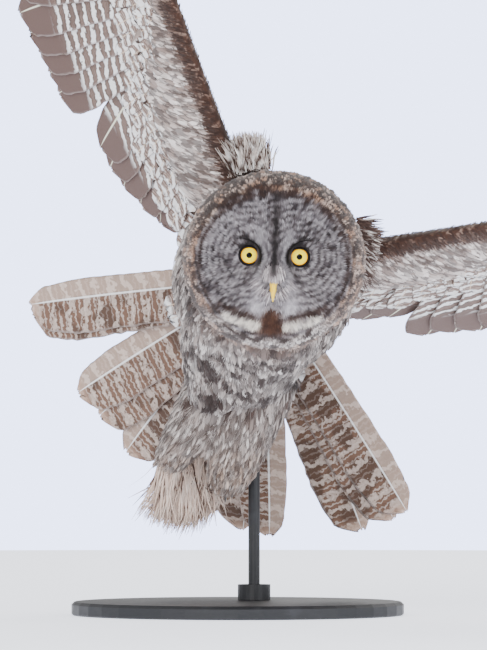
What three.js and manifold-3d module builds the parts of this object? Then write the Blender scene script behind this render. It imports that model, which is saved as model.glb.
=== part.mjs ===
// Great grey owl in banking flight, life size, held by a plain display stand.
// Lengths are millimetres and angles degrees. +Z is up and the owl faces -Y.
// The origin is the centre of the underside of the stand's base.
import * as THREE from "three";
import { mergeVertices } from "three/addons/utils/BufferGeometryUtils.js";
import Module from "manifold-3d";

const wasm = await Module();
wasm.setup();

// Driving dimensions of the whole bird
const touchGap = 0.3;
const bank = 30;
const shoulderCentre = [44, -125, 380];
const headCentre = [36.5, -275, 365];
const headTilt = 2;

const head = {
  halfWidth: 93,
  halfHeight: 91,
  discRadius: 71,
  sectors: 28,
  // How far each ring stands in front of the head's centre, against its share of the half width
  profile: [
    [0.1, 56], [0.2, 55.5], [0.3, 54.5], [0.4, 53], [0.5, 52], [0.6, 51.5], [0.69, 52], [0.76, 53],
    [0.82, 49], [0.88, 41], [0.94, 29], [0.985, 14], [1, -2], [0.985, -22], [0.93, -42], [0.82, -58],
    [0.64, -70], [0.4, -78], [0.16, -82],
  ],
  front: 56.5,
  back: -83,
};
const eye = { apart: 25, up: 3.5, radius: 12.5, front: 50.5, lidRadius: 10.4, lidTube: 1.8 };
const bill = {
  // forward, up, half width and half height of each section
  upper: [[46, -15, 5.6, 6.2], [60, -17, 5, 5.6], [69, -22.5, 4.1, 4.6], [73, -31, 2.9, 3.1], [71, -42, 0.7, 0.8]],
  lower: [[46, -27, 4.6, 3.2], [58, -29.5, 3.8, 2.6], [65.5, -33.5, 2.2, 1.6]],
  nostril: { forward: 60, up: -13.5, side: 4.6, radius: 1.3 },
};

// Torso sections in the body frame: back, up, sideways, half width, half height
const torso = {
  sides: 24,
  sections: [
    [-52, 0, -1, 40, 40], [-44, -1, -1, 60, 59], [-25, -4, -1, 78, 75], [5, -10, -1, 88, 84], [40, -22, 1, 94, 91],
    [80, -39, 3, 94, 91], [115, -53, 6, 87, 83], [145, -59, 8, 69, 66], [170, -58, 7, 46, 44], [188, -55, 5, 27, 26],
    [196, -54, 4, 14, 14],
  ],
};
// Neck sections from the back of the head to the shoulders: share of the way, half width, half height
const neck = { sides: 20, start: 30, sections: [[0, 72, 70], [0.3, 81, 78], [0.65, 85, 80], [1, 76, 72]] };

// Legs: hip to foot, as world points with a radius
const legs = {
  right: [[-4, -42, 262, 35], [-22, -34, 232, 34], [-43, -24, 200, 28], [-62, -12, 172, 23], [-74, 2, 156, 17]],
  left: [[26, -46, 262, 40], [16, -38, 228, 40], [5, -28, 190, 34], [-6, -16, 154, 28], [-13, -1, 130, 20]],
};
const foot = { palm: [11, 9, 14], lift: 8, toeLength: 32, toeRadius: 5.2, clawLength: 21, clawRadius: 2.4, sides: 6 };

// Wings: pose angles, then the arm's joints in the wing plane as [along, behind]
const wing = {
  shoulder: [60, 10, 35],
  dihedral: 39,
  sweep: 14,
  elbow: [96, 80],
  wrist: [238, 10],
  handTip: [336, 12],
  camber: 18,
  camberAt: 270,
  droop: 78,
  droopFrom: 230,
  droopAt: 640,
};
// The secondaries' tips: how far apart they are and how far back they reach, and the gap where they part
const wingSides = {
  right: { mirror: -1, incidence: 32, tipSpacing: 24, partAfter: 5, partGap: 43, innerReach: 246 },
  left: { mirror: 1, incidence: 23, tipSpacing: 28.5, partAfter: 8, partGap: 4, innerReach: 212 },
};
const secondaries = { count: 10, tertials: 3, firstTip: [225, 288], tipFall: 3, innerFall: 3.2, width: 56 };
const primaries = {
  lengths: [262, 270, 284, 306, 338, 372, 394, 390, 358, 292],
  firstAngle: 86,
  lastAngle: 12,
  widths: [56, 38],
};
// The arm's flesh: along, front edge, rear edge, thickness
const arm = {
  sides: 12,
  sections: [
    [-46, 8, 96, 26], [-20, 4, 112, 42], [20, 1, 122, 38], [70, -1, 122, 32], [120, -2, 108, 28], [180, -3, 76, 25],
    [232, -4, 48, 22], [275, -3, 38, 17], [315, 0, 31, 12], [342, 5, 22, 6],
  ],
};

// Tiers of covert feathers on both faces of a wing, and the small feathers of the thumb
const coverts = {
  greater: { count: 10, rootInside: 36, length: 104, width: 40, lift: 7.4, spread: [2, 328] },
  median: { count: 6, rootInside: 56, length: 74, width: 44, lift: 11.2, spread: [14, 318] },
  dorsalShare: 0.82,
  thumb: { count: 3, root: [246, 6], angle: 4, length: 78, width: 22 },
};

// Tail: root in the body frame, its pose, and the angle of each feather from its middle line
const tail = {
  root: [0, 185, -45],
  depression: 60,
  twist: 15,
  length: 284,
  width: 58,
  layer: 1.1,
  spread: [-48, -46, -26, -19, -9, 11, 17, 26.5, 33, 56.5, 67, 71.5],
  rootSpread: 0.05,
  curve: 0.03,
  // The flat pad of flesh and down that the spread feathers stand in
  pad: [46, 50, 12],
  covertSpread: [-34, -14, 8, 28, 50],
  covertLength: 112,
};
// Tufts of back feathers that stand up over the root of each wing
const scapulars = {
  right: { mirror: -1, lean: [46, 26], length: 60 },
  left: { mirror: 1, lean: [16, -4], length: 52 },
  count: 6,
  width: 36,
  sweep: [0.15, 1.1],
  roll: 58,
};

// How wide a feather is along its length: share of the length, share of the width
const featherForms = {
  broad: [[0, 0.26], [0.34, 0.94], [0.78, 1], [0.94, 0.68], [1, 0.22]],
  fingered: [[0, 0.26], [0.4, 1], [0.72, 0.76], [0.94, 0.5], [1, 0.16]],
  covert: [[0, 0.56], [0.7, 1], [1, 0.42]],
};
const feather = { outerWeb: 0.35, tilt: 0.12, curve: 0.07, thickness: [1.5, 0.6] };

const stand = {
  base: [172, 150],
  sides: 40,
  baseThickness: 14,
  edge: 3,
  rodRadius: 6,
  rodAt: [17, 45],
  collarRadius: 17,
  collarHeight: 16,
};

const rad = THREE.MathUtils.degToRad;
const lerp = THREE.MathUtils.lerp;
const v3 = (x, y, z) => new THREE.Vector3(x, y, z);

// Frames: a function that takes local coordinates to the world
const bodyX = v3(Math.cos(rad(bank)), 0, -Math.sin(rad(bank)));
const bodyY = v3(0, 1, 0);
const bodyZ = v3(Math.sin(rad(bank)), 0, Math.cos(rad(bank)));

function frameAt(origin, x, y, z) {
  return (a, b, c) => origin.clone().addScaledVector(x, a).addScaledVector(y, b).addScaledVector(z, c);
}
const bodyPoint = frameAt(v3(...shoulderCentre), bodyX, bodyY, bodyZ);
const headPoint = frameAt(
  v3(...headCentre),
  v3(Math.cos(rad(headTilt)), 0, -Math.sin(rad(headTilt))),
  v3(0, 1, 0),
  v3(Math.sin(rad(headTilt)), 0, Math.cos(rad(headTilt))),
);

// Solids
function solidFrom(points, faces) {
  const flat = new Float32Array(points.length * 3);
  points.forEach((p, i) => p.toArray(flat, i * 3));
  const turned = (list) => new Uint32Array(list.flat());
  const mesh = (list) => new wasm.Mesh({ numProp: 3, vertProperties: flat, triVerts: turned(list) });
  const made = new wasm.Manifold(mesh(faces));
  return made.volume() > 0 ? made : new wasm.Manifold(mesh(faces.map(([a, b, c]) => [a, c, b])));
}

function fromGeometry(geometry) {
  const bare = geometry.clone();
  bare.deleteAttribute("normal");
  bare.deleteAttribute("uv");
  const merged = mergeVertices(bare, 1e-4);
  const vertProperties = new Float32Array(merged.attributes.position.array);
  return new wasm.Manifold(new wasm.Mesh({ numProp: 3, vertProperties, triVerts: new Uint32Array(merged.index.array) }));
}

const union = (solids) => solids.reduce((a, b) => a.add(b));
const largest = (solid) => solid.decompose().reduce((a, b) => (a.volume() > b.volume() ? a : b));

// A closed skin over rings of equal count, its ends closed to their centres
function loft(rings) {
  const n = rings[0].length;
  const points = rings.flat();
  const faces = [];
  for (let i = 0; i < rings.length - 1; i++)
    for (let j = 0; j < n; j++) {
      const a = i * n + j;
      const b = i * n + ((j + 1) % n);
      faces.push([a, b, b + n], [a, b + n, a + n]);
    }
  const close = (start, turn) => {
    const ring = points.slice(start, start + n);
    points.push(ring.reduce((sum, p) => sum.add(p), v3(0, 0, 0)).divideScalar(n));
    const centre = points.length - 1;
    for (let j = 0; j < n; j++) {
      const edge = [start + j, start + ((j + 1) % n)];
      faces.push(turn ? [edge[0], edge[1], centre] : [edge[1], edge[0], centre]);
    }
  };
  close(0, false);
  close((rings.length - 1) * n, true);
  return solidFrom(points, faces);
}

// A thin plate through rows of [upper, lower] point pairs, split into the same triangles on both faces
function plate(rows) {
  const columns = rows[0].length;
  const points = [...rows.flat().map(([upper]) => upper), ...rows.flat().map(([, lower]) => lower)];
  const under = rows.length * columns;
  const faces = [];
  const wall = (a, b) => faces.push([a, b, b + under], [a, b + under, a + under]);
  for (let i = 0; i < rows.length - 1; i++) {
    for (let j = 0; j < columns - 1; j++) {
      const a = i * columns + j;
      const c = a + columns;
      faces.push([a, c, c + 1], [a, c + 1, a + 1]);
      faces.push([under + a, under + c + 1, under + c], [under + a, under + a + 1, under + c + 1]);
    }
    const first = i * columns;
    const last = first + columns - 1;
    wall(first + columns, first);
    wall(last, last + columns);
  }
  const lastRow = (rows.length - 1) * columns;
  for (let j = 0; j < columns - 1; j++) {
    wall(j, j + 1);
    wall(lastRow + j + 1, lastRow + j);
  }
  return solidFrom(points, faces);
}

// One feather as a plate in a local frame. Its outer web is tilted up and its inner web down,
// so that each lies over the next one. turn is 1 where the outer web faces smaller angles.
function vane(place, { root, angle, length, width, lift = [0, 0], turn = 1, form, curve = feather.curve, grow = 0 }) {
  const along = [Math.cos(rad(angle)), Math.sin(rad(angle))];
  const outer = [turn * along[1], -turn * along[0]];
  const webs = form === featherForms.covert ? [0.5, -0.5] : [feather.outerWeb, 0, feather.outerWeb - 1];
  const rows = form.map(([share, wide]) => {
    const bend = -curve * length * share * share;
    const thick = lerp(...feather.thickness, share) + 2 * grow;
    return webs.map((web) => {
      const side = web * (width * wide + 2 * grow);
      const reach = length * share + 2 * grow * share;
      const a = root[0] + along[0] * reach + outer[0] * (side + bend);
      const b = root[1] + along[1] * reach + outer[1] * (side + bend);
      const h = lerp(...lift, share) + feather.tilt * side;
      return [place(a, b, h + thick / 2), place(a, b, h - thick / 2)];
    });
  });
  return plate(rows);
}

// A tube through [point, radius across, radius up] stations
function tube(stations, sides, across) {
  return loft(
    stations.map(({ at, wide, high }, i) => {
      const before = stations[Math.max(i - 1, 0)].at;
      const after = stations[Math.min(i + 1, stations.length - 1)].at;
      const along = after.clone().sub(before).normalize();
      const side = across.clone().addScaledVector(along, -across.dot(along)).normalize();
      const up = along.clone().cross(side);
      return Array.from({ length: sides }, (_, j) => {
        const turn = (2 * Math.PI * j) / sides;
        return at.clone().addScaledVector(side, wide * Math.cos(turn)).addScaledVector(up, high * Math.sin(turn));
      });
    }),
  );
}

function ball(centre, radii, wide = 12, high = 9) {
  const [x, y, z] = Array.isArray(radii) ? radii : [radii, radii, radii];
  return fromGeometry(new THREE.SphereGeometry(1, wide, high).scale(x, y, z).translate(centre.x, centre.y, centre.z));
}

// Head
const bell = (distance, width) => Math.exp(-((distance / width) ** 2));

function faceRelief(x, z) {
  const inDisc = 1 - THREE.MathUtils.smoothstep(Math.hypot(x, z), head.discRadius - 6, head.discRadius + 8);
  const eyeDish = -8.5 * bell(Math.hypot(Math.abs(x) - eye.apart - 4, z - eye.up), 27);
  const ridge = 6 * bell(x, 8) * THREE.MathUtils.smoothstep(z, -40, -10) * (1 - THREE.MathUtils.smoothstep(z, 30, 62));
  const muzzle = 8 * bell(Math.hypot(x, z + 24), 17);
  const brow = 2.5 * bell(Math.abs(x) - 13, 6) * bell(z - 14, 13);
  return inDisc * (eyeDish + ridge + muzzle + brow);
}

function headShape(grow) {
  const ring = ([share, forward]) =>
    Array.from({ length: head.sectors }, (_, j) => {
      const turn = (2 * Math.PI * j) / head.sectors;
      const x = share * head.halfWidth * Math.cos(turn);
      const z = share * head.halfHeight * Math.sin(turn);
      const stand = forward > 0 ? forward + faceRelief(x, z) : forward;
      const outward = v3(share * Math.cos(turn), -stand / 90, share * Math.sin(turn)).normalize();
      return headPoint(x + grow * outward.x, -stand + grow * outward.y, z + grow * outward.z);
    });
  return loft(head.profile.map(ring));
}

const eyePoint = (side) => headPoint(side * eye.apart, -(eye.front - eye.radius), eye.up);

function eyeLid(side) {
  const ring = new THREE.TorusGeometry(eye.lidRadius, eye.lidTube, 5, 16);
  ring.rotateX(Math.PI / 2);
  const at = headPoint(side * eye.apart, -(eye.front - 5.2), eye.up);
  return fromGeometry(ring.translate(at.x, at.y, at.z));
}

function billShape(sections, grow) {
  const stations = sections.map(([forward, up, wide, high]) => ({
    at: headPoint(0, -forward, up),
    wide: wide + grow,
    high: high + grow,
  }));
  return tube(stations, 10, v3(1, 0, 0));
}

function nostril(side) {
  const { forward, up, radius } = bill.nostril;
  return ball(headPoint(side * bill.nostril.side, -forward, up), [radius, radius * 1.4, radius], 8, 6);
}

// Trunk
function torsoShape(grow) {
  return loft(
    torso.sections.map(([back, up, side, wide, high], i) => {
      const end = i === 0 ? -grow : i === torso.sections.length - 1 ? grow : 0;
      return Array.from({ length: torso.sides }, (_, j) => {
        const turn = (2 * Math.PI * j) / torso.sides;
        return bodyPoint(side + (wide + grow) * Math.cos(turn), back + end, up + (high + grow) * Math.sin(turn));
      });
    }),
  );
}

function scapularTuft(side, grow) {
  const { mirror, lean: leans, length } = scapulars[side];
  const out = bodyX.clone().multiplyScalar(mirror);
  const roll = rad(scapulars.roll);
  return union(
    Array.from({ length: scapulars.count }, (_, i) => {
      const share = i / (scapulars.count - 1);
      const lean = rad(lerp(...leans, share));
      const sweep = lerp(...scapulars.sweep, share);
      const along = v3(0, 0, 0).addScaledVector(out, Math.cos(lean)).addScaledVector(bodyZ, Math.sin(lean));
      along.addScaledVector(bodyY, sweep).normalize();
      const back = bodyY.clone().addScaledVector(along, -along.y).normalize();
      const up = along.clone().cross(back).multiplyScalar(mirror);
      const across = back.clone().multiplyScalar(Math.cos(roll)).addScaledVector(up, Math.sin(roll));
      const above = up.clone().multiplyScalar(Math.cos(roll)).addScaledVector(back, -Math.sin(roll));
      const root = bodyPoint(mirror * lerp(40, 58, share), lerp(-26, 62, share), lerp(62, 36, share));
      const place = frameAt(root, along, across, above);
      const long = length * lerp(0.9, 1.15, share);
      const form = featherForms.covert;
      return vane(place, { root: [0, 0], angle: 0, length: long, width: scapulars.width, form, lift: [0, 6], grow });
    }),
  );
}

function neckShape(grow) {
  const from = headPoint(0, neck.start, 0);
  const to = bodyPoint(0, -10, 0);
  const stations = neck.sections.map(([share, wide, high]) => ({
    at: from.clone().lerp(to, share),
    wide: wide + grow,
    high: high + grow,
  }));
  return tube(stations, neck.sides, v3(1, 0, 0));
}

// Wings: a wing point is along the arm, behind its front edge, and above its plane
function wingFrame({ mirror, incidence }) {
  const [d, s, i] = [wing.dihedral, wing.sweep, incidence].map(rad);
  const along = v3(Math.cos(d) * Math.cos(s), -Math.sin(s), Math.sin(d) * Math.cos(s));
  const behind = v3(0, Math.cos(i), -Math.sin(i));
  behind.addScaledVector(along, -behind.dot(along)).normalize();
  const above = along.clone().cross(behind);
  const toWorld = ({ x, y, z }) =>
    v3(0, 0, 0).addScaledVector(bodyX, mirror * x).addScaledVector(bodyY, y).addScaledVector(bodyZ, z);
  const [x, y, z] = wing.shoulder;
  const flat = frameAt(bodyPoint(mirror * x, y, z), toWorld(along), toWorld(behind), toWorld(above));
  return (a, b, h) => {
    const camber = wing.camber * (Math.max(b, 0) / wing.camberAt) ** 2;
    const droop = wing.droop * (Math.max(a - wing.droopFrom, 0) / (wing.droopAt - wing.droopFrom)) ** 2;
    return flat(a, b, h - camber - droop);
  };
}

function armShape(place, grow) {
  return loft(
    arm.sections.map(([along, front, rear, thick]) =>
      Array.from({ length: arm.sides }, (_, j) => {
        const turn = (2 * Math.PI * j) / arm.sides;
        const half = (rear - front) / 2 + grow;
        const slim = 1 - 0.45 * Math.cos(turn) * (Math.cos(turn) > 0 ? 1 : 0.2);
        return place(along, (front + rear) / 2 + half * Math.cos(turn), (thick / 2 + grow) * slim * Math.sin(turn));
      }),
    ),
  );
}

// Where the arm's flesh ends behind a point along it
function armRear(along) {
  const i = arm.sections.findIndex(([at]) => at > along);
  const [from, to] = [arm.sections[i - 1], arm.sections[i]];
  return THREE.MathUtils.mapLinear(along, from[0], to[0], from[2], to[2]);
}

function tipOf({ partAfter, partGap, tipSpacing, innerReach }, k) {
  const { firstTip, tipFall, innerFall, count } = secondaries;
  const inner = k - partAfter;
  if (inner < 0) return [firstTip[0] - tipSpacing * k, firstTip[1] - tipFall * k];
  const steps = Math.min(k, count) + 0.35 * Math.max(k - count, 0);
  return [firstTip[0] - tipSpacing * steps - partGap, innerReach - innerFall * inner ** 2];
}

function between(root, tip) {
  const [a, b] = [tip[0] - root[0], tip[1] - root[1]];
  return { root, angle: THREE.MathUtils.radToDeg(Math.atan2(b, a)), length: Math.hypot(a, b) };
}

// Flight feathers as roots, angles from the arm's line and lengths, from the body outwards
function flightFeathers(side) {
  const made = [];
  const { count, tertials, width } = secondaries;
  for (let k = count + tertials - 1; k >= 0; k--) {
    const share = k / (count - 1);
    const root = [lerp(wing.wrist[0] - 6, wing.elbow[0], share), lerp(wing.wrist[1] + 6, wing.elbow[1], share)];
    made.push({ ...between(root, tipOf(wingSides[side], k)), width, form: featherForms.broad });
  }
  primaries.lengths.forEach((length, k, all) => {
    const share = k / (all.length - 1);
    const root = [lerp(wing.wrist[0] + 6, wing.handTip[0] - 4, share), lerp(wing.wrist[1], wing.handTip[1], share)];
    const angle = lerp(primaries.firstAngle, primaries.lastAngle, share);
    const form = k < all.length / 2 ? featherForms.broad : featherForms.fingered;
    made.push({ root, angle, length, width: lerp(...primaries.widths, share), form });
  });
  return made;
}

// Coverts follow the flight feathers under them
function covertAngle(along) {
  const [elbowAngle, wristAngle, tipAngle] = [130, 92, 24];
  const atHand = (along - wing.wrist[0]) / (wing.handTip[0] - wing.wrist[0]);
  return atHand < 0 ? lerp(elbowAngle, wristAngle, along / wing.wrist[0]) : lerp(wristAngle, tipAngle, atHand);
}

function covertTier(place, { count, rootInside, length, width, lift, spread }, face) {
  const [inner, outer] = [length, length * 0.72];
  return Array.from({ length: count }, (_, i) => {
    const share = i / (count - 1);
    const along = lerp(...spread, share);
    const root = [along, armRear(along) - rootInside * lerp(1, 0.5, share)];
    const height = face * lift * (face > 0 ? coverts.dorsalShare : 1);
    const form = featherForms.covert;
    return vane(place, {
      root, angle: covertAngle(along), length: lerp(inner, outer, share), width, lift: [height * 0.4, height], form,
    });
  });
}

function thumbFeathers(place) {
  const { count, root, angle, length, width } = coverts.thumb;
  return Array.from({ length: count }, (_, i) =>
    vane(place, {
      root: [root[0], root[1] - i], angle: angle + 3 * i, length: length * (1 - 0.16 * i), width,
      lift: [2, 11 + 2 * i], form: featherForms.covert,
    }),
  );
}

function wingShape(side) {
  const place = wingFrame(wingSides[side]);
  const tiers = [coverts.greater, coverts.median].flatMap((tier) => [-1, 1].flatMap((face) => covertTier(place, tier, face)));
  const flight = flightFeathers(side).map((one) => vane(place, one));
  return union([armShape(place, 0), ...flight, ...tiers, ...thumbFeathers(place)]);
}

// Tail: a tail point is along its middle, across towards the bird's left, and above
function tailFrame() {
  const d = rad(tail.depression);
  const t = rad(tail.twist);
  const along = v3(0, 0, 0).addScaledVector(bodyY, Math.cos(d)).addScaledVector(bodyZ, -Math.sin(d));
  const up = bodyX.clone().cross(along);
  const across = bodyX.clone().multiplyScalar(Math.cos(t)).addScaledVector(up, -Math.sin(t));
  const above = up.clone().multiplyScalar(Math.cos(t)).addScaledVector(bodyX, Math.sin(t));
  return frameAt(bodyPoint(...tail.root), along, across, above);
}

// A flattened ball in a local frame
function pillow(place, [along, across, above]) {
  const [rings, sides, cap] = [4, 14, 0.94];
  return loft(
    Array.from({ length: rings + 1 }, (_, i) => {
      const lift = lerp(-cap, cap, i / rings);
      const reach = Math.sqrt(1 - lift ** 2);
      return Array.from({ length: sides }, (_, j) => {
        const turn = (2 * Math.PI * j) / sides;
        return place(reach * along * Math.cos(turn), reach * across * Math.sin(turn), lift * above);
      });
    }),
  );
}

function tailCore(place) {
  const stations = [[-34, 20, 22], [-10, 30, 24], [20, 34, 17], [52, 30, 9], [74, 20, 4]].map(([along, wide, high]) => ({
    at: place(along, 0, -3),
    wide,
    high,
  }));
  const across = place(0, 1, 0).sub(place(0, 0, 0));
  return tube(stations, 12, across);
}

// The middle pair lies on top, and each feather outwards lies under the one before it
function tailShape() {
  const place = tailFrame();
  const { spread, covertSpread } = tail;
  const middle = (spread.length - 1) / 2;
  const fan = spread.map((angle, i) => {
    const depth = -tail.layer * Math.abs(i - middle);
    const turn = i < middle ? 1 : -1;
    const length = tail.length * (1 - 0.06 * bell(angle + 18, 14));
    return vane(place, {
      root: [-8, angle * tail.rootSpread], angle, length, width: tail.width, lift: [depth, depth], turn, curve: tail.curve,
      form: featherForms.broad,
    });
  });
  const tiers = [-1, 1].flatMap((face) =>
    covertSpread.map((angle, i) => {
      const height = face * (face > 0 ? 5.5 : 13);
      return vane(place, {
        root: [-4, angle * tail.rootSpread], angle, length: tail.covertLength * (i % 2 ? 1 : 0.9), width: 46,
        lift: [height * 0.5, height], turn: i < 2 ? 1 : -1, form: featherForms.covert, curve: 0,
      });
    }),
  );
  const pad = pillow(place, tail.pad);
  return union([tailCore(place), pad, ...fan, ...tiers]);
}

// Legs and feet
function legShape(side, grow) {
  const stations = legs[side].map(([x, y, z, r]) => ({ at: v3(x, y, z), wide: r + grow, high: r * 0.92 + grow }));
  return tube(stations, 14, v3(1, 0, 0));
}

// The feet trail straight back under the tail, so a foot point is across, under and behind the ankle
function footFrame(side) {
  const [x, y, z] = legs[side][legs[side].length - 1];
  return frameAt(v3(x, y, z + foot.lift), v3(1, 0, 0), v3(0, 0, -1), v3(0, 1, 0));
}

// Three toes and one opposite them: turn across, curl under, share of the length
const toes = [[-17, 7, 0.9], [0, 12, 1], [17, 7, 0.92], [8, -30, 0.7]];

function toePath(place, [turn, lean, share], from, to, steps) {
  const length = foot.toeLength * share;
  return Array.from({ length: steps + 1 }, (_, i) => {
    const s = lerp(from, to, i / steps);
    const curl = rad(lean * (1 + 0.9 * s));
    const out = length * s;
    return place(Math.sin(rad(turn)) * out, Math.sin(curl) * out * 0.85, 8 + Math.cos(curl) * out * Math.cos(rad(turn)));
  });
}

function footShape(side, grow) {
  const place = footFrame(side);
  const parts = [ball(place(0, 0, 9), foot.palm.map((r) => r + grow), 10, 6)];
  for (const toe of toes) {
    const path = toePath(place, toe, 0, 1, 2);
    parts.push(
      tube(
        path.map((at, i) => {
          const r = foot.toeRadius * (1 - 0.1 * i) + grow;
          return { at, wide: r, high: r };
        }),
        foot.sides,
        v3(1, 0, 0),
      ),
    );
  }
  return union(parts);
}

function clawShape(side, toe) {
  const place = footFrame(side);
  const reach = 1 + foot.clawLength / (foot.toeLength * toe[2]);
  const path = toePath(place, toe, 0.86, reach, 3);
  return tube(
    path.map((at, i) => {
      const r = foot.clawRadius * [1, 0.95, 0.62, 0.18][i];
      return { at, wide: r, high: r * 1.1 };
    }),
    5,
    v3(1, 0, 0),
  );
}

// Stand
function cylinder(radius, height, x, y, z, sides) {
  const geometry = new THREE.CylinderGeometry(radius, radius, height, sides).rotateX(Math.PI / 2);
  return fromGeometry(geometry.translate(x, y, z + height / 2));
}

function baseShape() {
  const { edge, sides, baseThickness: high } = stand;
  const ring = (inset, z) =>
    Array.from({ length: sides }, (_, j) => {
      const turn = (2 * Math.PI * j) / sides;
      return v3((stand.base[0] - inset) * Math.cos(turn), (stand.base[1] - inset) * Math.sin(turn), z);
    });
  return loft([ring(edge / 2, 0), ring(0, edge / 2), ring(0, high - edge), ring(edge, high)]);
}

// Assembly
const material = (color, roughness, metalness = 0) => new THREE.MeshStandardMaterial({ color, roughness, metalness });
const plumage = material(0x8c857e, 0.9);
const flightPlumage = material(0xb09a8c, 0.85);
const iris = material(0xe8c83c, 0.1);
const horn = material(0xcfae5c, 0.4);
const claw = material(0x1c1a19, 0.35);
const steel = material(0x3a3c40, 0.4, 0.6);

const owl = new THREE.Group();
function addNode(name, solid, finish) {
  const { vertProperties, triVerts, numProp } = largest(solid).getMesh();
  const position = new Float32Array((vertProperties.length / numProp) * 3);
  for (let i = 0; i < position.length / 3; i++)
    position.set(vertProperties.subarray(i * numProp, i * numProp + 3), i * 3);
  const geometry = new THREE.BufferGeometry()
    .setAttribute("position", new THREE.BufferAttribute(position, 3))
    .setIndex(new THREE.BufferAttribute(triVerts, 1));
  geometry.computeVertexNormals();
  const mesh = new THREE.Mesh(geometry, finish);
  mesh.name = name;
  owl.add(mesh);
}

const torsoClear = torsoShape(touchGap);
const headClear = headShape(touchGap);
const neckClear = neckShape(touchGap);

const sides = ["right", "left"];
const shoulders = union(sides.map((side) => armShape(wingFrame(wingSides[side]), touchGap)));
const tufts = union(sides.map((side) => scapularTuft(side, 0))).subtract(union([shoulders, neckClear, headClear]));
const torsoSolid = torsoShape(0).add(tufts);

const skull = union([headShape(0), eyeLid(1), eyeLid(-1)]);
const sockets = union([1, -1].map((side) => ball(eyePoint(side), eye.radius + touchGap)));
const upperBill = billShape(bill.upper, 0);
const billClear = union([billShape(bill.upper, touchGap), billShape(bill.lower, touchGap)]);
addNode("head", skull.subtract(sockets).subtract(billClear), plumage);
addNode("eye_right", ball(eyePoint(-1), eye.radius), iris);
addNode("eye_left", ball(eyePoint(1), eye.radius), iris);
addNode("bill_upper", upperBill.subtract(union([nostril(1), nostril(-1)])), horn);
addNode("bill_lower", billShape(bill.lower, 0).subtract(billShape(bill.upper, touchGap)), horn);
addNode("neck", neckShape(0).subtract(headClear).subtract(torsoClear), plumage);
addNode("torso", torsoSolid, plumage);

const tuftsClear = sides.map((side) => scapularTuft(side, touchGap));
const trunkClear = union([torsoClear, neckClear, headClear, ...tuftsClear]);
for (const side of sides) addNode("wing_" + side, wingShape(side).subtract(trunkClear), flightPlumage);
addNode("tail", tailShape().subtract(torsoClear), flightPlumage);

const rightLegClear = legShape("right", touchGap);
for (const side of sides) {
  const leg = legShape(side, 0).subtract(torsoClear);
  addNode("leg_" + side, side === "left" ? leg.subtract(rightLegClear) : leg, plumage);
  addNode("foot_" + side, footShape(side, 0).subtract(legShape(side, touchGap)), plumage);
  const footClear = union([footShape(side, touchGap), legShape(side, touchGap)]);
  toes.forEach((toe, i) => addNode(`talon_${side}_${i + 1}`, clawShape(side, toe).subtract(footClear), claw));
}

const [rodX, rodY] = stand.rodAt;
const top = stand.baseThickness + touchGap;
const rod = cylinder(stand.rodRadius, 300, rodX, rodY, top, 20);
const collar = cylinder(stand.collarRadius, stand.collarHeight, rodX, rodY, top, 24);
const rodHole = cylinder(stand.rodRadius + touchGap, 60, rodX, rodY, top - 10, 20);
addNode("stand_base", baseShape(), steel);
addNode("stand_rod", rod.subtract(torsoClear), steel);
addNode("stand_collar", collar.subtract(rodHole), steel);

export default owl;
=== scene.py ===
import math
import bmesh
import bpy
import numpy as np
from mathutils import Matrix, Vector


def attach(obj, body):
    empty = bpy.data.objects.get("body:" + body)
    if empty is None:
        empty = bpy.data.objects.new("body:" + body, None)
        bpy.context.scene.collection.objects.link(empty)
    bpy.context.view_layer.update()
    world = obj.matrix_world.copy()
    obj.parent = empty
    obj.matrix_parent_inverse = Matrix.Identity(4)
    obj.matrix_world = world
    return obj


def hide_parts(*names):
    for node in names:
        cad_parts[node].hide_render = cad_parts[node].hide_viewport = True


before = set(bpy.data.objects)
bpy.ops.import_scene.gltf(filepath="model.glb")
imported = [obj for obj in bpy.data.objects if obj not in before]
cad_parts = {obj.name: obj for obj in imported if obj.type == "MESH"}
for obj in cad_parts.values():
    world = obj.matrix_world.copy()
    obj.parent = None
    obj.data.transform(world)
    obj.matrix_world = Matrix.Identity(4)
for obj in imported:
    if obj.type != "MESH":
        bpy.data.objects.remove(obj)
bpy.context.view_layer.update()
mm = 0.001

# Where the owl is in the frame, in millimetres, as in the part's source
pose = {"bank": 30.0, "shoulderCentre": (44, -125, 380), "headCentre": (36.5, -275, 365), "headTilt": 2.0}


def unit(v):
    v = np.asarray(v, float)
    return v / np.maximum(np.linalg.norm(v, axis=-1, keepdims=True), 1e-9)


def smooth(v, low, high):
    t = np.clip((np.asarray(v, float) - low) / (high - low), 0, 1)
    return t * t * (3 - 2 * t)


def bell(v, width):
    return np.exp(-(np.asarray(v, float) / width) ** 2)


def circle(sides):
    return np.linspace(0, 2 * np.pi, sides, endpoint=False)


def turnedAxes(degrees):
    t = math.radians(degrees)
    return np.array([math.cos(t), 0, -math.sin(t)]), np.array([math.sin(t), 0, math.cos(t)])


bodyX, bodyZ = turnedAxes(pose["bank"])
headX, headZ = turnedAxes(pose["headTilt"])
bodyY = np.array([0.0, 1.0, 0.0])


def placeIn(origin, x, y, z):
    def place(a, b, c):
        a, b, c = np.broadcast_arrays(*[np.asarray(v, float) for v in (a, b, c)])
        return np.asarray(origin, float) + a[..., None] * x + b[..., None] * y + c[..., None] * z

    return place


bodyPoint = placeIn(pose["shoulderCentre"], bodyX, bodyY, bodyZ)
headPoint = placeIn(pose["headCentre"], headX, bodyY, headZ)


def toHead(p):
    d = p - np.array(pose["headCentre"])
    return d @ headX, -d[:, 1], d @ headZ


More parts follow.
